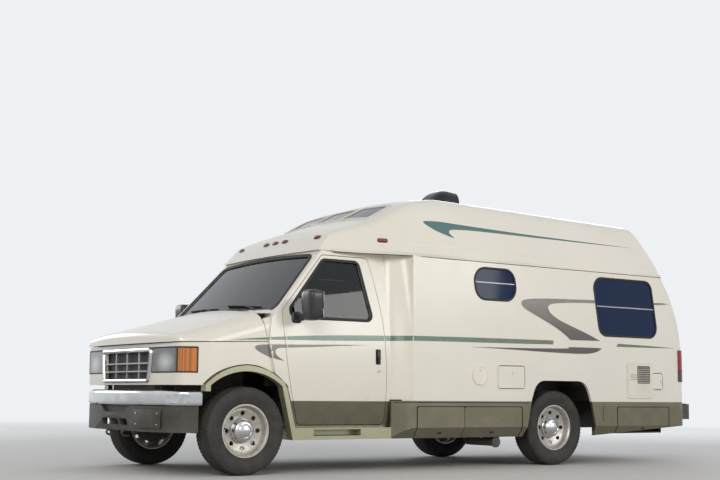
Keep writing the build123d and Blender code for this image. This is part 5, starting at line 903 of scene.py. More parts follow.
# Windshield seal, wipers and cowl
WINDSHIELD_SLOPE = math.atan2(0.548, 0.504)
WINDSHIELD_BASE = Vector((FRONT_AXLE - 0.235, 0, 1.392))
UP_GLASS = Vector((-math.cos(WINDSHIELD_SLOPE), 0, math.sin(WINDSHIELD_SLOPE)))
OUT_GLASS = Vector((math.sin(WINDSHIELD_SLOPE), 0, math.cos(WINDSHIELD_SLOPE)))
WINDSHIELD_OUTLINE = [(0.905, 0.030), (0.792, 0.6965), (-0.792, 0.6965), (-0.905, 0.030)]


def on_glass(tree, outline):
    """Hits on the windshield, from places across it and up it."""
    points = [WINDSHIELD_BASE + Vector((0, y, 0)) + UP_GLASS * up for y, up in outline]
    return traced(tree, points, -OUT_GLASS)


def windshield_trim():
    body = surface("cab_body")
    outline = filled_in(grown(rounded(WINDSHIELD_OUTLINE, 0.060), 0.012), 0.04)
    piece("windshield_seal", laid(on_glass(body, outline), bead(0.036, 0.007), True), black_rubber)
    glass = surface("windshield", "cab_body")
    parts = []
    for pivot, tip in ((0.70, 0.10), (-0.05, -0.65)):
        blade = on_glass(glass, [(pivot + (tip - pivot) * i / 12, 0.052 + 0.03 * i / 12) for i in range(13)])
        parts.append(laid(blade, bead(0.011, 0.022, -0.004)))
        arm = [point for point, out in on_glass(glass, [(pivot, -0.015), (pivot - 0.12, 0.03)])]
        arm.append(blade[6][0])
        for point, lift in zip(arm, (0.006, 0.030, 0.026)):
            point += OUT_GLASS * lift
        parts.append(tube(curve(arm, 12), 0.006, 8))
        parts.append(seated(button(0.018, 0.016), arm[0], OUT_GLASS, (0, 1, 0)))
    piece("wipers", parts, black_rubber)
    slots = []
    for middle in (0.48, -0.48):
        for i in range(14):
            point, out = cast(body, (FRONT_AXLE - 0.170, middle + (i - 6.5) * 0.030, 3), -UP)
            slots.append(box((0.052, 0.011, 0.004), point + out * 0.0004, 0.0015))
    piece("cowl_slots", slots, black_rubber)


windshield_trim()


# Nose: grille backing, lamp surrounds, bumper pad, plate bracket and tow hooks
def plan_arc(y, front, sagitta, half):
    """The place of a bowed front, given from the front axle, at a distance from the middle."""
    radius = (half ** 2 + sagitta ** 2) / (2 * sagitta)
    return FRONT_AXLE + front - radius + math.sqrt(radius ** 2 - y ** 2)


def nose_x(y):
    return plan_arc(y, 0.655, 0.043, 0.870)


def bumper_x(y):
    return plan_arc(y, 0.760, 0.100, 0.760)


def run_across(ys, out, profile, x_at, back, z):
    """A profile swept across the bowed front."""
    return sweep([Vector((x_at(y) - back, y, z)) for y in ys], [Vector(out)] * len(ys), profile)


LAMP_LOW = 0.843
LAMP_MIDDLE = 0.94
LAMP_HIGH = 1.040
LAMP_REAR = (0.4545, 0.9695)
BUMPER_RADIUS = 2.938
PLATE_AT = (0.57, 0.458)
GRILLE_FRAME = [(0.500, 1.034), (-0.500, 1.034), (-0.455, 0.768), (0.455, 0.768)]
GRILLE_SUNK = 0.018
GRILLE_RIM = (
    (-0.021, -0.010), (-0.021, 0.006), (-0.014, 0.017), (-0.004, 0.022), (0.008, 0.018), (0.018, 0.004),
    (0.021, -0.030),
)
TOW_HOOK = (
    (0.575, 0.500), (0.600, 0.400), (0.660, 0.366), (0.725, 0.350), (0.735, 0.325), (0.705, 0.308),
    (0.665, 0.312),
)
AHEAD = (1, 0, 0)


def grille():
    """A bright frame round dark slots, with slim bars and posts."""
    spread = [-0.455 + 0.91 * i / 20 for i in range(21)]
    middle_z = (GRILLE_FRAME[0][1] + GRILLE_FRAME[2][1]) / 2
    tall = (GRILLE_FRAME[0][1] - GRILLE_FRAME[2][1]) / 2 - 0.012
    sheet = [(-tall, -0.002), (-tall, 0.002), (tall, 0.002), (tall, -0.002)]
    piece("grille_backing", run_across(spread, AHEAD, sheet, nose_x, 0.046, middle_z), black_rubber)
    outline = filled_in(rounded(GRILLE_FRAME, 0.030), 0.04)
    path = [Vector((nose_x(y) - 0.002, y, z)) for y, z in outline]
    rim = sweep(path, [Vector(AHEAD)] * len(path), GRILLE_RIM, True)
    piece("grille_frame", rim, chrome, stands_for="grille")
    bar = bead(0.015, 0.012, 0.006)
    bars = [run_across(spread, AHEAD, bar, nose_x, GRILLE_SUNK, z) for z in (0.850, 0.918)]
    for y in (-0.235, 0.0, 0.235):
        bars.append(box((0.012, 0.013, 2 * tall - 0.006), (nose_x(y) - GRILLE_SUNK - 0.004, y, middle_z)))
    piece("grille_bars", bars, satin_silver)


def lamp_surrounds():
    """Black beads round the lamps, between them and down their rear edges."""
    lamps = surface("front_lamps", "cab_body")
    surrounds = []
    for side, _ in SIDES:
        run = [(0.70, y) for y in (0.505, 0.60, 0.72, 0.80, 0.86, 0.89, 0.92)]
        run += [(x, 3.0) for x in (0.575, 0.555, 0.53, 0.50, 0.458)]
        for z in (LAMP_LOW - 0.002, LAMP_HIGH + 0.002):
            hits = []
            for x, y in run:
                from_front = y < 1
                ray = (-1, 0, 0) if from_front else (0, -side, 0)
                start_x = FRONT_AXLE + x + (1 if from_front else 0)
                point, out = cast(lamps, (start_x, side * y, (z + LAMP_MIDDLE) / 2), ray)
                hits.append((Vector((point.x, point.y, z)), Vector((out.x, out.y, 0))))
            surrounds.append(laid(hits, bead(0.012, 0.005, 0.012)))
        point, out = cast(lamps, (FRONT_AXLE + 2, side * (LAMP_SPLIT_Y + 0.002), LAMP_MIDDLE), (-1, 0, 0))
        uprights = (
            (point.x, LAMP_SPLIT_Y, out, 0.006),
            (FRONT_AXLE + LAMP_REAR[0], LAMP_REAR[1], Vector((0, side, 0)), 0.004),
        )
        for x, y, out, proud in uprights:
            ends = [Vector((x, side * y, z)) for z in (LAMP_LOW - 0.006, LAMP_HIGH + 0.006)]
            surrounds.append(sweep(ends, [out, out], bead(0.010, proud, 0.012)))
    piece("lamp_surrounds", surrounds, black_rubber)


def nose_trim():
    top_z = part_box("front_bumper")[1].z
    run = [-0.74 + 1.48 * i / 28 for i in range(29)]
    pad = [run_across(run, UP, bead(0.030, 0.006), bumper_x, 0.042, top_z)]
    for y in run[1:-1]:
        pad.append(box((0.026, 0.006, 0.003), (bumper_x(y) - 0.042, y, top_z + 0.0065), 0.001))
    piece("bumper_pad", pad, black_rubber)
    plate_y, plate_z = PLATE_AT
    turn = Matrix.Rotation(math.asin(plate_y / BUMPER_RADIUS), 3, "Z")
    out = turn @ Vector(AHEAD)
    centre = Vector((bumper_x(plate_y) - 0.001, plate_y, plate_z))
    bracket = [box((0.010, 0.370, 0.156), centre, 0.004, turn)]
    bracket.append(box((0.005, 0.330, 0.126), centre + out * 0.005, 0.002, turn))
    places = [(across, up) for across in (-0.145, 0.145) for up in (-0.046, 0.046)]
    bolts = [seated(button(0.007, 0.004, 12), centre + turn @ Vector((0.0075, *at)), out) for at in places]
    piece("plate_bracket", bracket, dark_plastic)
    piece("plate_bolts", bolts, chrome)
    hooks = []
    for y in (-0.16, 0.16):
        hooks.append(tube(curve([(FRONT_AXLE + x, y, z) for x, z in TOW_HOOK], 22), 0.0095, 10))
    piece("tow_hooks", hooks, chassis_black)


grille()
lamp_surrounds()
nose_trim()

# Cab doors: handles, locks, window seals and mirrors
DOOR_WINDOW = [(-0.422, 1.332), (-0.422, 1.400), (-0.800, 1.842), (-1.162, 1.842), (-1.258, 1.332)]
HANDLE_X = -1.320
HANDLE_Z = (0.937, 1.072)
LOCK_AT = (-1.329, 0.879)
MIRROR_HEAD = (0.142, 0.190, 0.262)
MIRROR_AT = (1.883, 1.192, 1.419)


def lock(name, tree, side, x, z, radius, body):
    """A round bright lock on a side."""
    piece(name, seated(button(radius, 0.005), *on_side(tree, side, x, z)), chrome, body)


def door_trim(side, name):
    body = "door_" + name
    skin = surface("cab_door_" + name)
    seal = side_bead(skin, side, from_axle(grown(rounded(DOOR_WINDOW, 0.042), 0.009)), 0.026, 0.006)
    piece("window_seal_" + name, seal, black_rubber, body)
    low, high = HANDLE_Z
    outline = from_axle(oblong(HANDLE_X - 0.026, low, HANDLE_X + 0.026, high, 0.012, 5))
    point, out = on_side(skin, side, FRONT_AXLE + HANDLE_X + 0.004, (low + high) / 2)
    grip = seated(box((0.024, 0.016, 0.108), (0, 0.009, 0), 0.006), point, out)
    piece("door_handle_" + name, [side_plate(skin, side, outline, 0.0035), grip], black_gloss, body)
    lock("door_lock_" + name, skin, side, FRONT_AXLE + LOCK_AT[0], LOCK_AT[1], 0.014, body)


def mirror(side, name):
    """A large door mirror: shell, glass, arm and foot, in the place of its CAD solid."""
    body = "door_" + name
    x, y, z = MIRROR_AT
    y *= side
    parts = [moved(pebble(MIRROR_HEAD, 5.0, 14, 0.16), Matrix.Translation((x, y, z)))]
    foot_at = on_side(surface("cab_door_" + name), side, x + 0.028, z - 0.098)
    parts.append(seated(pebble((0.100, 0.040, 0.100), 3.5, 8), *foot_at))
    for up, fore in ((-0.085, 0.030), (-0.115, 0.010)):
        start = Vector((x + fore, side * 0.985, z + up - 0.006))
        parts.append(tube([start, Vector((x + fore * 0.5, y - side * 0.030, z + up + 0.010))], 0.014, 12))
    piece("mirror_shell_" + name, parts, dark_gloss, body, 50, stands_for="mirror_" + name)
    back = x - MIRROR_HEAD[0] / 2
    face = box((0.004, 0.150, 0.145), (back + 0.002, y, z + 0.040), 0.0018)
    lower = box((0.004, 0.138, 0.060), (back + 0.003, y, z - 0.077), 0.0018)
    piece("mirror_face_" + name, [face, lower], chrome, body)


for side, name in SIDES:
    door_trim(side, name)
    mirror(side, name)

# Side windows of the coach: black frames and dividers
WINDOW_LEAN = 0.165
SMALL_WINDOW = (CAB_REAR - 1.187, 1.726, 0.500, 0.291, 0.118)
LARGE_WINDOW = (REAR_AXLE - 0.913, 1.580, 0.842, 0.578, 0.100)
coach_wall = surface("coach_body")
window_skin = surface("tinted_glass")


def leaning(mid_x, mid_z, width, tall, corner):
    """The outline of a window whose upright edges lean."""
    lean = WINDOW_LEAN * tall / 2
    half = width / 2
    corners = ((half, -1), (half, 1), (-half, 1), (-half, -1))
    return rounded([(mid_x + x + up * lean, mid_z + up * tall / 2) for x, up in corners], corner, 8)


def coach_windows(side, name):
    frames, dividers = [], []
    for window, divider in ((SMALL_WINDOW, 1.738), (LARGE_WINDOW, 1.584)):
        mid_x, mid_z, width, tall, corner = window
        frames.append(side_bead(coach_wall, side, grown(leaning(*window), 0.004), 0.020, 0.006, 0.05))
        x = mid_x + WINDOW_LEAN * (divider - mid_z)
        ends = (x - width / 2 + 0.004, x + width / 2 - 0.004)
        dividers.append(laid([on_side(window_skin, side, end, divider) for end in ends], bead(0.012, 0.005)))
    piece("window_dividers_" + name, dividers, satin_silver)
    piece("window_frames_" + name, frames, black_rubber)


for side, name in SIDES:
    coach_windows(side, name)
rear_outline = filled_in(grown(oblong(-0.640, 1.240, 0.640, 1.760, 0.070), 0.010), 0.05)
rear_hits = traced(coach_wall, [(-3, y, z) for y, z in rear_outline], AHEAD)
piece("rear_window_seal", laid(rear_hits, bead(0.040, 0.008), True), black_rubber)

# Left wall: filler, hatches and the appliance panel
FILLER = (-2.447, 0.860)
FILLER_RADIUS = 0.090
FILLER_RING = ((0, -0.008), (0, 0.003), (0.008, 0.004), (0.010, 0.0))
LOUVRE_X = (-4.582, -4.741)
LOUVRE_Z = (0.823, 0.979)
LOUVRE_SLATS = 7
APPLIANCE_FRAMES = ((-4.412, 1.024, -4.804, 0.664), (-4.439, 0.994, -4.757, 0.688))


def service_panels():
    wall = surface("coach_body", "side_panels", "water_lid", "cord_lid")
    panel = surface("side_panels")
    wall_skin = surface("coach_body", "side_panels")
    point, out = on_side(wall, 1, FRONT_AXLE + FILLER[0], FILLER[1])
    ring = lathe([(FILLER_RADIUS - inset, up) for inset, up in FILLER_RING], point, out)
    tab = seated(box((0.030, 0.004, 0.012), (0, 0.002, -0.058), 0.0015), point, out)
    piece("filler_ring", [ring, tab], white_plastic, slot="dark_plastic")
    piece("filler_lock", seated(button(0.010, 0.004), point + UP * 0.050, out), chrome)
    frames = []
    for name, across, up in (("water", -0.012, 0.044), ("cord", -0.050, 0)):
        node_name = name + "_lid"
        low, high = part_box(node_name)
        middle = mid(node_name)
        outline = grown(oblong(low.x, low.z, high.x, high.z, 0.020), 0.013)
        frames.append(side_bead(coach_wall, 1, outline, 0.012, 0.004))
        at = (middle.x + across, middle.z + up)
        lock(node_name + "_lock", surface(node_name), 1, *at, 0.012, "lid_" + name)
    slats = []
    (x, far_x), (z, far_z) = LOUVRE_X, LOUVRE_Z
    pitch = (far_z - z) / LOUVRE_SLATS
    tilt = Matrix.Rotation(math.radians(-32), 3, "X")
    for i in range(LOUVRE_SLATS):
        centre = (FRONT_AXLE + (x + far_x) / 2, COACH_HALF + 0.0085, z + (i + 0.5) * pitch)
        slats.append(box((0.152, 0.0025, pitch * 0.85), centre, 0.001, tilt))
    outline = from_axle(rounded([(x, z), (x, far_z), (far_x, far_z), (far_x, z)], 0.006))
    slats.append(side_bead(panel, 1, grown(outline, 0.008), 0.012, 0.005))
    for corners in APPLIANCE_FRAMES:
        frames.append(side_bead(wall_skin, 1, from_axle(oblong(*corners, 0.022)), 0.009, 0.004))
    for row in range(3):
        at = on_side(wall_skin, 1, FRONT_AXLE - 4.510, 0.852 + row * 0.023)
        slats.append(seated(box((0.096, 0.004, 0.005), (0, 0.001, 0), 0.001), *at))
    places = [(FRONT_AXLE + x, z) for x in (-4.435, -4.757) for z in (0.672, 0.840, 1.005)]
    screws = [seated(button(0.0045, 0.002, 10), *on_side(panel, 1, *at)) for at in places]
    piece("appliance_louvre", slats, grey_plastic)
    piece("appliance_screws", screws, chrome)
    piece("hatch_frames", frames, coach_paint)


service_panels()

# Skirts: latches, a small rear cover and trim below the doors
LOCKERS = (("left_front", 1), ("left_middle", 1), ("left_rear", 1), ("right_rear", -1))
ARCH_EDGE = (
    (0.400, 0.737), (0.330, 0.800), (0.235, 0.852), (0.120, 0.888), (-0.009, 0.903), (-0.130, 0.886),
    (-0.245, 0.838), (-0.330, 0.775), (-0.378, 0.715), (-0.405, 0.650), (-0.422, 0.583), (-0.450, 0.460),
)
STEP_FRONT = -0.640
STEP_REAR = -1.130


def skirt_details():
    for name, side in LOCKERS:
        node_name = "locker_" + name
        low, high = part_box(node_name)
        at = on_side(surface(node_name), side, (low.x + high.x) / 2, low.z + 0.045)
        parts = [seated(box((0.046, 0.006, 0.020), (0, 0.001, 0)), *at)]
        parts.append(seated(box((0.026, 0.007, 0.008), (0, 0.004, 0.001), 0.002), *at))
        piece(node_name + "_latch", parts, black_gloss, "lid_" + name)
    cover = from_axle(oblong(-4.256, 0.430, -4.073, 0.580, 0.012))
    piece("rear_cover", side_plate(surface("coach_skirts"), 1, cover, 0.005), olive_paint)
    skin = surface("coach_skirts", "running_boards")
    seams = []
    for side, _ in SIDES:
        hits = [on_side(skin, side, CAB_REAR - 0.02 - i * 0.055, 0.606) for i in range(30)]
        seams.append(laid(hits, bead(0.008, 0.002)))
    piece("skirt_seams", seams, black_rubber)


def arch_seals():
    """Rubber between the cab's wings and the arch mouldings."""
    tree = surface("cab_body", "running_boards")
    parts = []
    for side, _ in SIDES:
        points = [on_side(tree, side, FRONT_AXLE + at.x, at.y + 0.006)[0] for at in curve(ARCH_EDGE, 48)]
        path = []
        for i, point in enumerate(points):
            widest = max(abs(near.y) for near in points[max(0, i - 1):i + 2])
            path.append(Vector((point.x, side * widest, point.z)))
        parts.append(sweep(path, [Vector((0, side, 0))] * len(path), bead(0.009, 0.004, 0.010)))
    piece("arch_seals", parts, black_rubber)


def step_treads():
    """Rubber treads in the running boards' step recesses."""
    size = (STEP_FRONT - STEP_REAR - 0.012, 0.009, 0.005)
    middle = FRONT_AXLE + (STEP_FRONT + STEP_REAR) / 2
    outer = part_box("running_boards")[1].y - 0.020
    rows = [side * (outer - i * 0.016) for side, _ in SIDES for i in range(5)]
    piece("step_treads", [box(size, (middle, y, 0.3195), 0.0015) for y in rows], black_rubber)


skirt_details()
arch_seals()
step_treads()

# Roof: seam moulding with a painted shadow line under it, creases and skylight frames
SEAM_Z = 1.945
SEAM_FRONT = FRONT_AXLE - 0.90
SKYLIGHT_X = (-1.390, -1.640)
SKYLIGHT_PITCH = 0.505
SKYLIGHT_HALF = 0.445 / 2
TAIL_SEAM_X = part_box("roof_cap")[0].x
TAIL_CORNER = 0.100


def about_corner(tree, side, rear_x, z, first, last, count, steps):
    """Hits round one rear corner, from one angle to another."""
    centre = Vector((rear_x + TAIL_CORNER, side * (COACH_HALF - TAIL_CORNER), z))
    hits = []
    for step in steps:
        turn = math.radians(first + (last - first) * step / count)
        aim = Vector((math.cos(turn), side * math.sin(turn), 0))
        hits.append(cast(tree, centre + aim, -aim))
    return hits


def roof_details():
    skin = surface("roof_cap", "coach_body", "cab_body")
    length = SEAM_FRONT - TAIL_SEAM_X - TAIL_CORNER
    left, right = [
        [on_side(skin, side, SEAM_FRONT - i * length / 43, SEAM_Z) for i in range(44)] for side, _ in SIDES
    ]
    around = about_corner(skin, 1, TAIL_SEAM_X, SEAM_Z, 90, 180, 8, range(1, 8))
    across = [cast(skin, (TAIL_SEAM_X - 1, 0.95 - 1.9 * i / 20, SEAM_Z), AHEAD) for i in range(21)]
    flip = Vector((1, -1, 1))
    mirrored = [(point * flip, out * flip) for point, out in around[::-1]]
    hits = left + around + across + mirrored + right[::-1]
    piece("roof_moulding", laid(hits, bead(0.026, 0.007)), white_plastic)
    # Painted shadow: a thin black line just under the moulding.
    below = [(point - UP * 0.0155 + out * 0.0005, out) for point, out in hits]
    piece("roof_seam_shadow", laid(below, bead(0.005, 0.002)), black_rubber)
    creases = []
    for side, _ in SIDES:
        hits = [on_side(skin, side, FRONT_AXLE - 1.62 - i * 0.100, 2.046 - i * 0.0003) for i in range(35)]
        creases.append(laid(hits, bead(0.012, 0.0025)))
    piece("roof_crease", creases, coach_paint)
    frames = []
    for middle in (-SKYLIGHT_PITCH, 0, SKYLIGHT_PITCH):
        outline = oblong(SKYLIGHT_X[0], middle - SKYLIGHT_HALF, SKYLIGHT_X[1], middle + SKYLIGHT_HALF, 0.020)
        outline = filled_in(grown(outline, 0.012), 0.03)
        hits = traced(cap_skin, [(FRONT_AXLE + x, y, 2.4) for x, y in outline], -UP)
        frames.append(laid(hits, bead(0.030, 0.012), True))
    piece("skylight_frames", frames, white_plastic)


def loose_parts(name):
    """The lowest and highest corners of each separate solid of a node."""
    shape = bmesh.new()
    shape.from_mesh(nodes[name].data)
    bmesh.ops.remove_doubles(shape, verts=shape.verts[:], dist=0.00001)
    left = set(shape.verts)
    boxes = []
    while left:
        solid = [left.pop()]
        for vert in solid:
            for edge in vert.link_edges:
                other = edge.other_vert(vert)
                if other in left:
                    left.discard(other)
                    solid.append(other)
        boxes.append([Vector([end(v.co[i] for v in solid) for i in range(3)]) for end in (min, max)])
    shape.free()
    return sorted(boxes, key=lambda pair: tuple(pair[0]))


def small_lamps(name, material, places, stands_for=None):
    """Lenses in dark gaskets, given the hit, the width and the thickness of each."""
    lenses = [seated(pebble((wide, tall, 0.030), 3.5, 6), *at) for at, wide, tall in places]
    gaskets = [seated(pebble((wide + 0.012, 0.016, 0.040), 5.0, 6), *at) for at, wide, tall in places]
    piece(name + "_lenses", lenses, material, sharp=60, stands_for=stands_for)
    piece(name + "_gaskets", gaskets, black_rubber, sharp=60)


def marker_lamps():
    """An amber lamp at each lamp of the node."""
    places = []
    for low, high in loose_parts("marker_lamps"):
        centre = (low + high) / 2
        on_flank = abs(centre.y) > 0.85
        aim = Vector((0, -math.copysign(1, centre.y), 0)) if on_flank else Vector((-1, 0, -0.6))
        places.append((cast(cap_skin, centre - aim, aim), 0.086 if on_flank else 0.072, 0.040))
    small_lamps("marker", lens_amber, places, "marker_lamps")


VENT_FRONT = -0.215
VENT_BACK = -0.560
VENT_HALF = 0.172


def roof_vent():
    """A domed cover with a steep louvred back, in the place of its CAD solid."""
    low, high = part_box("roof_vent")
    columns = []
    stations = 24
    for i in range(stations + 1):
        turn = math.pi * i / stations / 2
        x = VENT_FRONT + (VENT_BACK - VENT_FRONT) * (1 - math.cos(turn)) if i < stations else VENT_BACK
        share = (VENT_FRONT - x) / (VENT_FRONT - VENT_BACK)
        rise = math.sqrt(max(0.0, 1 - (1 - min(1.0, share / 0.70)) ** 2))
        tall = (high.z - low.z - 0.004) * max(rise, 0.05) * (1 - 0.06 * share ** 3)
        half = VENT_HALF * (0.80 + 0.20 * min(1.0, share / 0.5) ** 0.6)
        line = []
        for j in range(33):
            c, s = math.cos(math.pi * j / 32), math.sin(math.pi * j / 32)
            line.append(Vector((x, half * math.copysign(abs(c) ** 0.55, c), low.z + tall * s ** 0.55)))
        columns.append(line)
    count = len(columns[0])
    verts, faces = ended(grid(columns), count)
    rows = range(stations + 1)
    faces.append([i * count for i in reversed(rows)] + [i * count + count - 1 for i in rows])
    parts = [(verts, faces)]
    for row in range(7):
        at = (VENT_BACK - 0.001, 0, low.z + 0.060 + row * 0.022)
        parts.append(box((0.008, 2 * VENT_HALF - 0.07, 0.007), at, 0.002))
    piece("vent_cover", parts, black_gloss, sharp=30, stands_for="roof_vent")


roof_details()
marker_lamps()
roof_vent()

# Entry door: handle, lock, window frame, door seal and grab rail
ENTRY_WINDOW = (0.127, 1.290, 0.527, 1.760, 0.060)


def entry_details():
    skin = surface("entry_door")
    wall = surface("coach_body", "coach_skirts")
    low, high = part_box("entry_door")
    seal = side_bead(skin, -1, grown(oblong(*ENTRY_WINDOW), 0.007), 0.030, 0.007)
    piece("entry_window_frame", seal, black_rubber, "door_entry")
    at = on_side(skin, -1, low.x + 0.070, 1.060)
    parts = [seated(box((0.074, 0.008, 0.128), (0, 0.002, 0), 0.004), *at)]
    parts.append(seated(box((0.048, 0.018, 0.090), (0, 0.008, -0.008), 0.006), *at))
    piece("entry_handle", parts, black_gloss, "door_entry")
    lock("entry_lock", skin, -1, low.x + 0.070, 1.180, 0.014, "door_entry")
    outline = grown(oblong(low.x, low.z, high.x, high.z, 0.060), 0.020)
    piece("entry_surround", side_bead(wall, -1, outline, 0.016, 0.005, 0.06), white_plastic)
    foot, head = [on_side(wall, -1, high.x + 0.045, z)[0] for z in (1.00, 1.46)]
    bend = ((0, 0, 0), (0, -0.030, 0.004), (0, -0.044, 0.03))
    path = [foot + Vector(shift) for shift in bend]
    path += [head + Vector((x, y, -z)) for x, y, z in reversed(bend)]
    rail = [tube(curve(path, 40), 0.011, 12)]
    rail += [seated(button(0.024, 0.005), point, (0, -1, 0)) for point in (foot, head)]
    piece("grab_rail", rail, chrome)


entry_details()

# Seats and sofa in cloth
SEAM_WIDTH = 0.009
SEAM_DEPTH = 0.007
WAIST = 0.035
SEAT_Y = 0.470
SEAT_MID_X = FRONT_AXLE - 1.225
BACK_TILT = math.radians(10.7)
UPENDED = Matrix.Rotation(math.radians(90), 4, "Y")


def cushion(size, crown, channels=(), cuts=20, power=5.0):
    """A crowned closed pad about the origin, sewn down along channels, with piping round its edge."""
    length, width, thick = size

    def flat(u, v, pull):
        x = u * pull * length / 2 * (1 - WAIST * v * v)
        return x, v * pull * width / 2 * (1 - WAIST * u * u)

    def put(u, v, w, pull):
        x, y = flat(u, v, pull)
        z = w * pull * (thick / 2 - crown) + w * crown * ((1 - u * u) * (1 - v * v))
        for channel in channels:
            z -= w * SEAM_DEPTH * math.exp(-((x - channel) / SEAM_WIDTH) ** 2) * (1 - abs(v) ** 8)
        return x, y, z

    edge = []
    for step in range(64):
        c, s = math.cos(2 * math.pi * step / 64), math.sin(2 * math.pi * step / 64)
        reach = 1 / (abs(c) ** power + abs(s) ** power) ** (1 / power)
        edge.append(Vector((*flat(c * reach, s * reach, 1), 0)))
    return joined([swollen(cuts, power, put), tube(edge, 0.0045, 8, closed=True)])


def pad(name, part, at, material, turn=Matrix.Identity(4), stands_for=None):
    """A padded piece, turned and then moved to its place."""
    placed_part = moved(part, Matrix.Translation(at) @ turn)
    piece(name, placed_part, material, sharp=60, stands_for=stands_for)


def cab_seat(side, name):
    """A high-backed cab seat on its pedestal."""
    y = side * SEAT_Y
    lean = Matrix.Rotation(-BACK_TILT, 4, "Y") @ UPENDED
    seat = cushion((0.475, 0.490, 0.140), 0.018, (-0.12, 0.0, 0.12))
    back = cushion((0.590, 0.485, 0.125), 0.016, (-0.16, -0.04, 0.08))
    head = cushion((0.160, 0.250, 0.084), 0.012, cuts=12)
    replaced = "cab_seats" if side > 0 else None
    pad("seat_cushion_" + name, seat, (SEAT_MID_X, y, 1.003), seat_cloth, stands_for=replaced)
    pad("seat_back_" + name, back, (FRONT_AXLE - 1.462, y, 1.345), seat_cloth, lean)
    pad("headrest_" + name, head, (FRONT_AXLE - 1.540, y, 1.745), seat_cloth, UPENDED)
    base = [box((0.330, 0.380, 0.250), (SEAT_MID_X - 0.02, y, 0.787), 0.015)]
    base.append(box((0.430, 0.420, 0.035), (SEAT_MID_X, y, 0.926), 0.010))
    for post in (-0.06, 0.06):
        foot = Vector((FRONT_AXLE - 1.525, y + post, 1.60))
        base.append(tube([foot, foot + Vector((-0.012, 0, 0.10))], 0.007, 10))
    piece("seat_base_" + name, base, interior_dark)


def sofa():
    """Three seat and three back cushions on a panelled plinth."""
    low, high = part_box("rear_sofa")
    top = 0.945
    middle, size = (low + high) / 2, high - low
    centre = (middle.x - 0.01, 0, (low.z + top) / 2)
    parts = [box((size.x - 0.03, size.y - 0.01, top - low.z), centre, 0.006)]
    for i in (-1, 0, 1):
        parts.append(box((0.008, size.y / 3 - 0.04, 0.22), (high.x - 0.023, i * size.y / 3, 0.80)))
    piece("sofa_plinth", parts, veneer, stands_for="rear_sofa")
    wide = size.y / 3 - 0.012
    for i in range(3):
        y = (i - 1) * (size.y - 0.01) / 3
        seat = cushion((size.x - 0.17, wide, 0.130), 0.020, (-0.16, 0.0, 0.16))
        pad(f"sofa_seat_{i}", seat, (middle.x + 0.075, y, 1.012), sofa_cloth)
        back = cushion((0.270, wide, 0.130), 0.020)
        pad(f"sofa_back_{i}", back, (low.x + 0.075, y, 1.085), sofa_cloth, UPENDED)


def dashboard_details():
    """Instrument hood, vents and radio."""
    centre = (FRONT_AXLE - 0.570, mid("steering_wheel").y, 1.362)
    parts = [box((0.130, 0.400, 0.070), centre, 0.022, segments=4)]
    for y in (-0.70, -0.14, 0.14, 0.74):
        for row in range(4):
            parts.append(box((0.014, 0.110, 0.005), (FRONT_AXLE - 0.692, y, 1.232 + row * 0.014), 0.001))
    parts.append(box((0.020, 0.200, 0.090), (FRONT_AXLE - 0.668, 0, 1.150), 0.004))
    piece("dash_fittings", parts, interior_dark)


for side, name in SIDES:
    cab_seat(side, name)
sofa()
dashboard_details()

# Tail: corner lamps and the bare plate holder on the bumper
LENS_PROUD = 0.010
LENS_ROWS = 6
REAR_LAMP_Z = 2.080


def corner_line(tree, side, rear_x, z):
    """Hits round one rear corner and a little way across the rear."""
    hits = about_corner(tree, side, rear_x, z, 80, 175, 12, range(13))
    return hits + [cast(tree, (rear_x - 1, side * 0.926, z), AHEAD)]


def corner_lens(tree, side, rear_x, z_low, z_high):
    """A closed lens that wraps a rear corner, between two heights."""
    heights = [z_low + (z_high - z_low) * row / LENS_ROWS for row in range(LENS_ROWS + 1)]
    loops = []
    for column in zip(*[corner_line(tree, side, rear_x, z) for z in heights]):
        outer = [point + out * LENS_PROUD for point, out in column]
        inner = [point - out * 0.004 for point, out in column]
        loops.append(outer + inner[::-1] + outer[:1])
    return ended(grid(loops), len(loops[0]), spare=1)


def tail_details():
    skin = surface("tail_lamps", "coach_body")
    rear_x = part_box("tail_lamps")[0].x
    upper = [corner_lens(skin, side, rear_x, 0.948, 1.160) for side, _ in SIDES]
    lower = [corner_lens(skin, side, rear_x, 0.842, 0.944) for side, _ in SIDES]
    piece("tail_lens_red", upper, lens_red, sharp=50, stands_for="tail_lamps")
    piece("tail_lens_low", lower, lens_smoke, sharp=50)
    lines = [corner_line(skin, side, rear_x, z) for side, _ in SIDES for z in (0.839, 0.946, 1.163)]
    piece("tail_lamp_bands", [laid(line, bead(0.007, 0.013)) for line in lines], black_rubber)
    wall = surface("coach_body", "roof_cap")
    hits = [cast(wall, (-4, y, REAR_LAMP_Z), AHEAD) for y in (-0.86, -0.12, 0.0, 0.12, 0.86)]
    small_lamps("rear_marker", lens_red, [(hit, 0.072, 0.036) for hit in hits])
    rear_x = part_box("rear_bumper")[0].x
    holder = [box((0.008, 0.340, 0.120), (rear_x + 0.001, 0, 0.520))]
    holder.append(box((0.006, 0.305, 0.098), (rear_x - 0.003, 0, 0.520)))
    piece("rear_plate_holder", holder, black_gloss)
    path = [Vector((rear_x + 0.040, y, 0.600)) for y in (-0.90, -0.45, 0.0, 0.45, 0.90)]
    piece("rear_step_pad", sweep(path, [UP] * 5, bead(0.060, 0.006)), black_rubber)


tail_details()

# Stage, lights and camera
STAGE_HALF = 60
BACKDROP = (0.86, 0.88, 0.90)


def existing(name):
    """A recipe for a shader that a tree already has."""
    return lambda tree: tree.nodes[name].outputs[0]


def shown(owner, output, factor, first, second):
    """Makes a material or world show a mix of two shaders."""
    mix = node("MixShader", {0: factor, 1: first, 2: second})
    fill(owner.node_tree.nodes[output], {"Surface": mix})


def ray(kind):
    return node("LightPath", output=f"Is {kind} Ray")


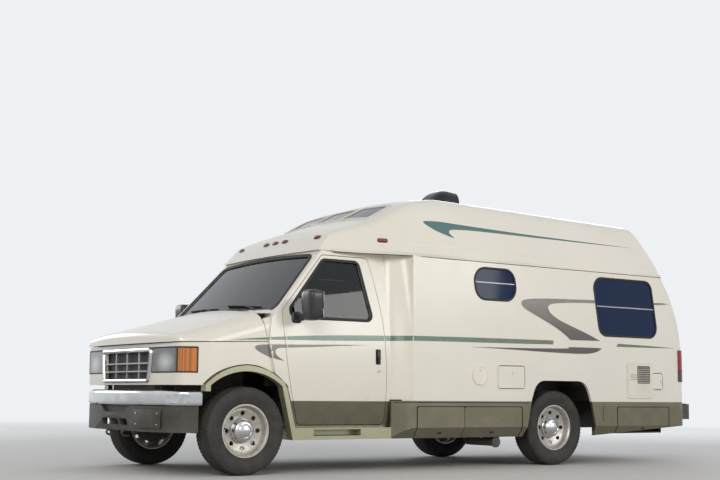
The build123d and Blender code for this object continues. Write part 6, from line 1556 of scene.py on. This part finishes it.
def stage():
    """A plain pale floor that runs out into the backdrop."""
    floor = material("stage_floor", (0.62, 0.61, 0.59), 0.85)
    distance = node("VectorMath", {0: PLACE}, "Value", operation="LENGTH")
    far = times(ramp(distance, 6.5, 18), ray("Camera"))
    shown(floor, "Material Output", far, existing("Principled BSDF"), node("Emission", {"Color": BACKDROP}))
    mesh = bpy.data.meshes.new("stage_floor")
    corners = ((-1, -1), (1, -1), (1, 1), (-1, 1))
    mesh.from_pydata([(x * STAGE_HALF, y * STAGE_HALF, 0) for x, y in corners], [], [[0, 1, 2, 3]])
    mesh.materials.append(floor)
    placed("stage_floor", mesh)


def world_light():
    """A pale backdrop for the camera, glass and metal, and a soft fill for the rest."""
    world = bpy.data.worlds.new("studio")
    bpy.context.scene.world = world
    world.use_nodes = True
    fill(world.node_tree.nodes["Background"], {"Color": (0.90, 0.94, 1.0), "Strength": 0.38})
    seen = ray("Camera")
    for kind in ("Glossy", "Transmission"):
        seen = node("Math", {0: seen, 1: ray(kind)}, operation="MAXIMUM")
    shown(world, "World Output", seen, existing("Background"), node("Background", {"Color": BACKDROP}))


def lamp(name, location, target, size, power, color):
    """A soft rectangular lamp aimed at a point."""
    data = bpy.data.lights.new(name, "AREA")
    data.shape = "RECTANGLE"
    data.size, data.size_y = size
    data.energy = power
    data.color = color
    made = placed(name, data)
    made.location = location
    made.rotation_euler = (Vector(target) - Vector(location)).to_track_quat("-Z", "Y").to_euler()


def camera():
    """The camera that took the photograph, found from known points of the van."""
    yaw, pitch, roll = math.radians(-124.742), math.radians(7.116), math.radians(0.519)
    front = Vector((math.cos(yaw) * math.cos(pitch), math.sin(yaw) * math.cos(pitch), math.sin(pitch)))
    right = front.cross(UP).normalized()
    up = right.cross(front)
    across = right * math.cos(roll) + up * math.sin(roll)
    above = up * math.cos(roll) - right * math.sin(roll)
    data = bpy.data.cameras.new("camera")
    data.sensor_width = 36
    data.lens = 61.64
    made = placed("camera", data)
    turn = Matrix((across, above, -front)).transposed()
    made.matrix_world = Matrix.Translation((FRONT_AXLE + 5.1035, 9.9662, 0.6771)) @ turn.to_4x4()
    bpy.context.scene.camera = made


stage()
world_light()
lamp("key", (10, 10, 6.5), (0, 0, 1), (7, 6), 800, (1.0, 0.95, 0.88))
lamp("side", (-6, 13, 5), (-1, 0, 1.2), (8, 5), 560, (1.0, 0.97, 0.93))
lamp("back", (-11, -9, 6), (0, 0, 1), (7, 6), 520, (0.92, 0.96, 1.0))
lamp("right", (6, -12, 5), (0, 0, 1), (7, 5), 450, (0.95, 0.97, 1.0))
camera()

bpy.context.scene.view_settings.view_transform = "Standard"
